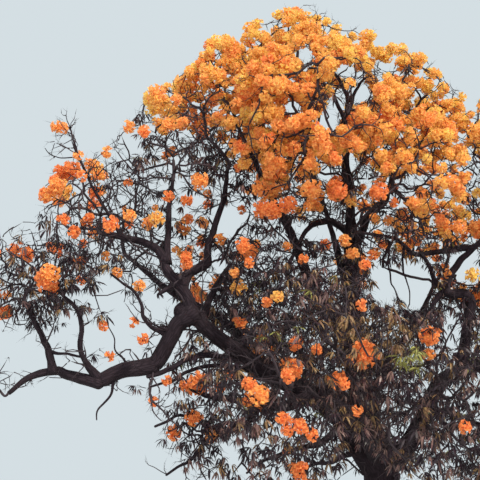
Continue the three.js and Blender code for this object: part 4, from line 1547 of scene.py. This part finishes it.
def leaf_mesh(seed, hang):
    """A leaf whose blades hang: 0 for a flat fan, 1 for straight down."""
    random = np.random.default_rng([FINE_SEED, seed])
    hub = np.array([STALK * STALK_OUT, 0, -STALK * (STALK_DOWN + STALK_HANG * hang)])
    corners = [np.array(end) for end in STALK_ENDS] + [hub]
    faces = [(0, 3, 1), (1, 3, 2), (2, 3, 0)]
    for blade in range(BLADES):
        aside = blade - MIDDLE_BLADE
        fan = aside * (FAN - FAN_HANG * hang) + random.uniform(-FAN_UNEVEN, FAN_UNEVEN)
        length = BLADE_LENGTH * (1 - SIDE_BLADE_SHORTER * abs(aside)) * random.uniform(*BLADE_UNEVEN)
        level = np.array([math.cos(fan), math.sin(fan), 0])
        side = np.array([-math.sin(fan), math.cos(fan), random.uniform(-BLADE_ROLL, BLADE_ROLL)])
        side /= np.linalg.norm(side)
        drop = DROP + DROP_HANG * hang + random.uniform(-DROP_UNEVEN, DROP_UNEVEN)
        place, gone = hub, 0
        rows = [len(corners)]
        corners.append(hub)
        for share, wide in BLADE_STATIONS:
            way = level * math.cos(drop) - np.array([0, 0, math.sin(drop)])
            place = place + way * length * (share - gone)
            drop, gone = min(drop + DROP_STEP, DROP_MOST), share
            rows.append(len(corners))
            edge = side * BLADE_WIDTH / 2 * wide
            corners += [place + edge, place - edge] if wide else [place]
        base, first, second, tip = rows
        faces += [(base, first + 1, first), (first, first + 1, second + 1), (first, second + 1, second)]
        faces.append((second, second + 1, tip))
    mesh = bpy.data.meshes.new(f"leaf_{seed}")
    mesh.from_pydata([tuple(c) for c in corners], [], faces)
    return mesh


print("a leaf has", len(leaf_mesh(0, 0.5).polygons), "triangles")

# %% [markdown]
# ## Heads of blossom by Geometry Nodes
# A head repeats one flower over a ball, and the crown repeats a head or a leaf at many places: both are what
# Geometry Nodes are for. The first tree spreads its flowers by the golden angle, which leaves no rows and no
# bald poles, and turns each to face outwards with a little disorder. Its named inputs hold the sizes and the
# seed. The tree ends by making the copies real, because copies alone don't leave Blender with the model.

# %% A tree of nodes that makes a head
GOLDEN_ANGLE = math.pi * (3 - math.sqrt(5))
CORE_SHARE = 1.15
SWELL_SCALE = 1.1
FLOWER_SIZE = (0.8, 1.2)


class Growing(Nodes):
    """A Geometry Nodes tree with named inputs, and how it is used on an object."""

    def __init__(self, name, inputs):
        super().__init__(bpy.data.node_groups.new(name, "GeometryNodeTree"))
        face = self.tree.interface
        face.new_socket("Geometry", in_out="INPUT", socket_type="NodeSocketGeometry")
        self.ids = {}
        for label, kind in inputs.items():
            socket = face.new_socket(label, in_out="INPUT", socket_type="NodeSocket" + kind)
            self.ids[label] = socket.identifier
        face.new_socket("Geometry", in_out="OUTPUT", socket_type="NodeSocketGeometry")
        self.given = self.node("NodeGroupInput").outputs
        self.result = self.node("NodeGroupOutput")

    def end_with(self, geometry):
        """The tree's result: the copies made real, with the material on them."""
        real = self.node("GeometryNodeRealizeInstances", {}, {"Geometry": geometry})
        dressed = self.node("GeometryNodeSetMaterial", {}, {
            "Geometry": real.outputs[0], "Material": self.given["Material"]})
        self.fill(self.result, {"Geometry": dressed.outputs[0]})

    def random_turn(self, tilt):
        """A turn for each point: up to the tilt to each side, and any way about its upright line."""
        most = self.node("ShaderNodeCombineXYZ", {}, {0: tilt, 1: tilt, 2: math.pi})
        least = self.node("ShaderNodeVectorMath", {"operation": "SCALE"}, {0: most.outputs[0], "Scale": -1.0})
        angles = self.node("FunctionNodeRandomValue", {"data_type": "FLOAT_VECTOR"}, {
            0: least.outputs[0], 1: most.outputs[0], "Seed": self.given["Seed"]})
        return self.node("FunctionNodeEulerToRotation", {}, {0: angles.outputs[0]}).outputs[0]

    def mesh_from(self, start, name, values):
        """The plain mesh that the tree makes of a start mesh, with these values on its inputs."""
        holder = bpy.data.objects.new(name, start)
        bpy.context.scene.collection.objects.link(holder)
        modifier = holder.modifiers.new(name, "NODES")
        modifier.node_group = self.tree
        for label, value in values.items():
            modifier[self.ids[label]] = value
        depsgraph = bpy.context.evaluated_depsgraph_get()
        mesh = bpy.data.meshes.new_from_object(holder.evaluated_get(depsgraph))
        holder.modifiers.clear()
        bpy.data.objects.remove(holder)
        for attribute in [a.name for a in mesh.attributes if a.name in ("size", "kind")]:
            mesh.attributes.remove(mesh.attributes[attribute])
        mesh.name = name
        return mesh


def head_tree():
    """The tree that spreads flowers over a ball."""
    tree = Growing("flower_head", {
        "Flower": "Object", "Flowers": "Int", "Core": "Float", "Uneven": "Float", "Disorder": "Float",
        "Seed": "Int", "Material": "Material"})
    given = tree.given
    index = tree.amount(tree.node("GeometryNodeInputIndex"))
    rise = 1 - (index + 0.5) * 2 / Amount(tree, given["Flowers"])
    level = (1 - rise * rise) ** 0.5
    turn = index * GOLDEN_ANGLE
    out = tree.node("ShaderNodeCombineXYZ", {}, {
        0: level * turn.math("COSINE", turn), 1: level * turn.math("SINE", turn), 2: rise})
    swell = tree.amount(tree.node("ShaderNodeTexNoise", {"noise_dimensions": "4D"}, {
        "Vector": out.outputs[0], "W": given["Seed"], "Scale": SWELL_SCALE, "Detail": 0.0}))
    far = ((swell - 0.5) * Amount(tree, given["Uneven"]) + 1) * Amount(tree, given["Core"])
    place = tree.node("ShaderNodeVectorMath", {"operation": "SCALE"}, {0: out.outputs[0], "Scale": far})
    points = tree.node("GeometryNodePoints", {}, {"Count": given["Flowers"], "Position": place.outputs[0]})
    outward = tree.node("FunctionNodeAlignRotationToVector", {"axis": "Z"}, {"Vector": out.outputs[0]})
    turned = tree.node("FunctionNodeRotateRotation", {"rotation_space": "LOCAL"}, {
        0: outward.outputs[0], 1: tree.random_turn(given["Disorder"])})
    size = tree.node("FunctionNodeRandomValue", {"data_type": "FLOAT"}, {
        2: FLOWER_SIZE[0], 3: FLOWER_SIZE[1], "Seed": given["Seed"]})
    copies = tree.node("GeometryNodeInstanceOnPoints", {}, {
        "Points": points.outputs[0],
        "Instance": tree.node("GeometryNodeObjectInfo", {}, {"Object": given["Flower"]}).outputs["Geometry"],
        "Rotation": turned.outputs[0], "Scale": size.outputs[1]})
    middle = tree.node("GeometryNodeMeshIcoSphere", {}, {
        "Radius": (Amount(tree, given["Core"]) * CORE_SHARE).socket, "Subdivisions": 1})
    both = tree.node("GeometryNodeJoinGeometry")
    for part in (middle.outputs["Mesh"], copies.outputs[0]):
        tree.tree.links.new(part, both.inputs[0])
    tree.end_with(both.outputs[0])
    return tree


head_maker = head_tree()
print("inputs of a head:", list(head_maker.ids))

# %% [markdown]
# The second tree deals shapes out over given places: at each it takes one of four shapes, by the kind stored
# with the place, turns it about an upright line, tilts it by up to a set angle, and sizes it by the size
# stored with the place. A head may be tilted any way, and a leaf only a little, since leaves hang.

# %% A tree of nodes that deals shapes out
SHAPES_DEALT = 4


def dealing_tree():
    """The tree that deals shapes out over the points of a mesh."""
    names = [f"Shape {k}" for k in range(SHAPES_DEALT)]
    tree = Growing("deal_out", {
        **dict.fromkeys(names, "Object"), "Tilt": "Float", "Seed": "Int", "Material": "Material"})
    given = tree.given
    choice = tree.node("GeometryNodeJoinGeometry")
    for name in reversed(names):
        shape = tree.node("GeometryNodeObjectInfo", {}, {"Object": given[name], "As Instance": True})
        tree.tree.links.new(shape.outputs["Geometry"], choice.inputs[0])
    kind = tree.node("GeometryNodeInputNamedAttribute", {"data_type": "INT"}, {"Name": "kind"})
    size = tree.node("GeometryNodeInputNamedAttribute", {"data_type": "FLOAT"}, {"Name": "size"})
    copies = tree.node("GeometryNodeInstanceOnPoints", {}, {
        "Points": given["Geometry"], "Instance": choice.outputs[0], "Pick Instance": True,
        "Instance Index": kind.outputs[0],
        "Rotation": tree.random_turn(given["Tilt"]), "Scale": size.outputs[0]})
    tree.end_with(copies.outputs[0])
    return tree


dealer = dealing_tree()


def shape_object(mesh):
    """A mesh put into the scene for a while, so that a tree can use it."""
    shape = bpy.data.objects.new(mesh.name, mesh)
    bpy.context.scene.collection.objects.link(shape)
    return shape


def places_mesh(row):
    """A mesh of bare points, one for each place with its kind and its size."""
    places, kinds, sizes = zip(*row)
    mesh = bpy.data.meshes.new("places")
    mesh.from_pydata([tuple(place) for place in places], [], [])
    mesh.attributes.new("kind", "INT", "POINT").data.foreach_set("value", np.array(kinds, np.int32))
    mesh.attributes.new("size", "FLOAT", "POINT").data.foreach_set("value", np.array(sizes, np.float32))
    return mesh


def deal_out(row, name, shapes, tilt, seed, material):
    """One mesh of all the shapes in a row of places."""
    inputs = {f"Shape {k}": shape for k, shape in enumerate(shapes)}
    inputs |= {"Tilt": tilt, "Seed": seed, "Material": material}
    mesh = dealer.mesh_from(places_mesh(row), name, inputs)
    print(name, "has", len(row), "shapes and", len(mesh.polygons), "triangles")
    return piece_of(mesh, material, smooth=False)


print("inputs of the dealer:", list(dealer.ids))

# %% [markdown]
# ## Petals and leaves
# Petals and leaves are thin, so some light comes through them: each finish mixes a translucent shader into
# the main one. The tints are plain, with darker and redder patches at random: on the petals these are painted
# shade, for flowers of a head that lie in shadow, and on the leaves a plain mottling. The tints are yellow,
# golden, orange and deep orange for the blossom, and dark, olive, dry and fresh for the leaves.

# %% Petal and leaf finishes
# dealt by place, the golden tints also stand for painted sunlight on a head and the deep ones for painted
# shade
PETAL_TINTS = {
    "yellow": (1.0, 0.75, 0.18, 1),
    "golden": (1.0, 0.63, 0.155, 1),
    "orange": (1.0, 0.505, 0.135, 1),
    "deep": (0.97, 0.375, 0.105, 1),
}
LEAF_TINTS = {
    "dark": (0.03, 0.02, 0.026, 1),
    "olive": (0.27, 0.175, 0.075, 1),
    "dry": (0.19, 0.12, 0.1, 1),
    "fresh": (0.28, 0.3, 0.08, 1),
}
# how much redder the darker patches are; on the petals these patches are painted shade
REDDER = 0.75
SHADE_AND_MOTTLE_SCALE = 32
SHADE_AND_MOTTLE_RANGE = (0.36, 0.64)


def thin_finish(name, tint, shade_and_mottle, through, roughness):
    """A finish for something thin: its tint, how much of it the darker patches keep (painted shade on petals,
    mottling on leaves), and the light let through.
    """
    finish = Finish(name, **{"Roughness": roughness, "Specular IOR Level": 0.3})
    place = finish.node("ShaderNodeTexCoord").outputs["Object"]
    patches = finish.node("ShaderNodeMapRange", {}, {
        "Value": finish.noise_over(place, SHADE_AND_MOTTLE_SCALE, detail=2),
        "From Min": SHADE_AND_MOTTLE_RANGE[0], "From Max": SHADE_AND_MOTTLE_RANGE[1]})
    # the darker, redder patches: painted shade within the heads of blossom, a plain mottling on the leaves
    red, green, blue = (shade_and_mottle * part for part in tint[:3])
    colour = finish.mixed(patches.outputs[0], tint, (red, REDDER * green, blue, 1))
    finish.fill(finish.shader, {"Base Color": colour})
    glow = finish.node("ShaderNodeBsdfTranslucent", {}, {"Color": colour})
    both = finish.node("ShaderNodeMixShader", {}, {
        0: through, 1: finish.shader.outputs[0], 2: glow.outputs[0]})
    finish.fill(finish.tree.nodes["Material Output"], {"Surface": both.outputs[0]})
    return finish.material


petals = {}
for name, tint in PETAL_TINTS.items():
    petals[name] = thin_finish("petal_" + name, tint, shade_and_mottle=0.78, through=0.42, roughness=0.6)
blades = {}
for name, tint in LEAF_TINTS.items():
    blades[name] = thin_finish("leaf_" + name, tint, shade_and_mottle=0.6, through=0.2, roughness=0.4)
print("finishes:", len(petals) + len(blades))

# %% [markdown]
# The tints are dealt by where a head or a leaf is, with some chance. Blossom is more golden high up and to
# the right and deeper low down: painted sunlight where the sun catches it and painted shade below, with the
# chance adding tone that differs from head to head. First the four kinds of heads are made, from the full one
# to the small tuft, and then they are dealt out, one mesh for each tint.

# %% Blossom over the crown
HEAD_UNEVEN = 2.2
HEAD_DISORDER = 0.6
# painted sunlight and shade: the blossom's tint turns more golden with height and to the right, deeper lower
# down
PAINTED_SUN_RISE = 0.36
PAINTED_SUN_FROM_HEIGHT = 5.7
PAINTED_SUN_RIGHT = 0.12
PAINTED_SUN_FROM_RIGHT = -1
GOLD_CHANCE = 0.42
GOLD_MARKS = {"deep": -0.6, "orange": 0.05, "golden": 0.75, "yellow": math.inf}

shapes = []
for k, (count, core) in enumerate(zip(HEAD_FLOWERS, HEAD_CORES)):
    flower = shape_object(flower_mesh(k))
    mesh = head_maker.mesh_from(bpy.data.meshes.new("none"), f"head_{k}", {
        "Flower": flower, "Flowers": count, "Core": core, "Uneven": HEAD_UNEVEN,
        "Disorder": HEAD_DISORDER, "Seed": k, "Material": petals["golden"]})
    mesh.materials.clear()
    shapes.append(shape_object(mesh))
    bpy.data.objects.remove(flower)

random = np.random.default_rng(HEAD_SEED)
dealt = {tint: [] for tint in PETAL_TINTS}
for place, kind, size in heads:
    # painted light: golden with height and to the right, deep low down; the random draw adds tone that
    # differs by head
    gold = PAINTED_SUN_RISE * (place[2] - PAINTED_SUN_FROM_HEIGHT) + PAINTED_SUN_RIGHT * (place[0] - PAINTED_SUN_FROM_RIGHT)
    dealt[picked(gold + random.normal() * GOLD_CHANCE, GOLD_MARKS)].append((place, kind, size))
blossom_pieces = []
for k, (tint, row) in enumerate(dealt.items()):
    blossom_pieces.append(deal_out(row, "blossom_" + tint, shapes, math.pi, k, petals[tint]))
for shape in shapes:
    bpy.data.objects.remove(shape)

# %% [markdown]
# Leaves are dark in most of the crown. Low down, in front and on the right more of them are dry or olive, and
# in two patches of the picture most are fresh or olive. Leaves hang more the drier they are, so each tint has
# its own four shapes.

# %% Leaves over the crown
LEAF_HANG = {"dark": 0.55, "olive": 0.7, "dry": 0.95, "fresh": 0.4}
LEAF_TILT = 0.55
LEAF_SEED = 50
TINTED_PATCHES = {"fresh": (410, 356, 18, 12), "olive": (372, 334, 48, 28)}
PATCH_SHARE = 0.7
LOW_WEIGHTS = np.array([0.35, -0.2, -0.9])
LOW_FROM = np.array([-0.4, 0, 4.4])
LOW_MARK = 0.4
LOW_TINTS = {"dry": 0.24, "olive": 0.34, "dark": 0.985, "fresh": 1}
HIGH_TINTS = {"dark": 0.8, "olive": 0.88, "dry": 0.985, "fresh": 1}


def leaf_tint(place, random):
    """The tint of a leaf, by the patch it is seen in or else by how low, far in front and far right it is."""
    draw = random.random()
    for tint, oval in TINTED_PATCHES.items():
        if draw < PATCH_SHARE and in_ovals(place, {tint: oval})[0]:
            return tint
    low = LOW_WEIGHTS @ (place - LOW_FROM)
    return picked(random.random(), LOW_TINTS if low > LOW_MARK else HIGH_TINTS)


random = np.random.default_rng(HEAD_SEED + 1)
dealt = {tint: [] for tint in LEAF_TINTS}
for place, size in leaves:
    dealt[leaf_tint(place, random)].append((place, random.integers(SHAPES_DEALT), size))
leaf_pieces = []
for k, (tint, row) in enumerate(dealt.items()):
    shapes = [shape_object(leaf_mesh(SHAPES_DEALT * k + n, LEAF_HANG[tint])) for n in range(SHAPES_DEALT)]
    leaf_pieces.append(deal_out(row, "leaves_" + tint, shapes, LEAF_TILT, LEAF_SEED + k, blades[tint]))
    for shape in shapes:
        bpy.data.objects.remove(shape)

# %% [markdown]
# ## Taking the solids' place
# The bark takes the place of the trunk and boughs, and the twigs and leaves that of the masses. The blossom
# stands for the masses that have more of it than of leaves. A rooted tree has no joint, so every piece rides
# on its one body.

# %% What stands for what
MOSTLY_BLOOM = 0.5
blooming = [name for name, (_, _, _, bloom, _) in MASSES.items() if bloom > MOSTLY_BLOOM]

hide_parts(*limbs)
for piece in twig_pieces:
    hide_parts(*MASSES)
for piece in blossom_pieces:
    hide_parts(*blooming)
for piece in leaf_pieces:
    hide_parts(*MASSES)
for piece in [bark, *twig_pieces, *blossom_pieces, *leaf_pieces]:
    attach(piece, "root")

# %% [markdown]
# ## Floor, sky and light
# A plain pale floor, a plain pale sky that lights the shade softly, a soft sun from the upper right, which is
# where the blossom is brightest in the picture, and a weak and very broad light from in front for the open
# sky there. The colours are shown as they are, with no film look over them.

# %% Floor, sky and sun
FLOOR_SIDE = 60
FLOOR_COLOUR = (0.62, 0.63, 0.62, 1)
SKY_COLOUR = (0.66, 0.735, 0.77, 1)
SUN_FROM = (0.5, -0.5, 0.7)
SUN_STRENGTH = 4.5
SUN_WIDTH = 6
SUN_COLOUR = (1, 0.93, 0.8)
FILL_FROM = (-0.2, -1, 0.15)
FILL_STRENGTH = 1.7
FILL_WIDTH = 70
FILL_COLOUR = (1, 0.97, 0.95)

bpy.ops.mesh.primitive_plane_add(size=FLOOR_SIDE)
floor = bpy.context.active_object
floor.name = "floor"
floor.data.materials.append(Finish("pale_floor", **{"Base Color": FLOOR_COLOUR, "Roughness": 0.9}).material)
floor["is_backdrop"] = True

world = bpy.data.worlds.new("pale_sky")
world.use_nodes = True
world.node_tree.nodes["Background"].inputs["Color"].default_value = SKY_COLOUR
bpy.context.scene.world = world


def add_sun(name, towards, strength, width, colour):
    """A sun that shines from this side, so many degrees wide."""
    light = bpy.data.objects.new(name, bpy.data.lights.new(name, "SUN"))
    light.data.energy = strength
    light.data.angle = math.radians(width)
    light.data.color = colour
    light.rotation_euler = Vector(towards).to_track_quat("Z", "Y").to_euler()
    bpy.context.scene.collection.objects.link(light)


add_sun("sun", SUN_FROM, SUN_STRENGTH, SUN_WIDTH, SUN_COLOUR)
add_sun("fill", FILL_FROM, FILL_STRENGTH, FILL_WIDTH, FILL_COLOUR)
bpy.context.scene.view_settings.view_transform = "Standard"
print("sun from", SUN_FROM, "and fill from", FILL_FROM)
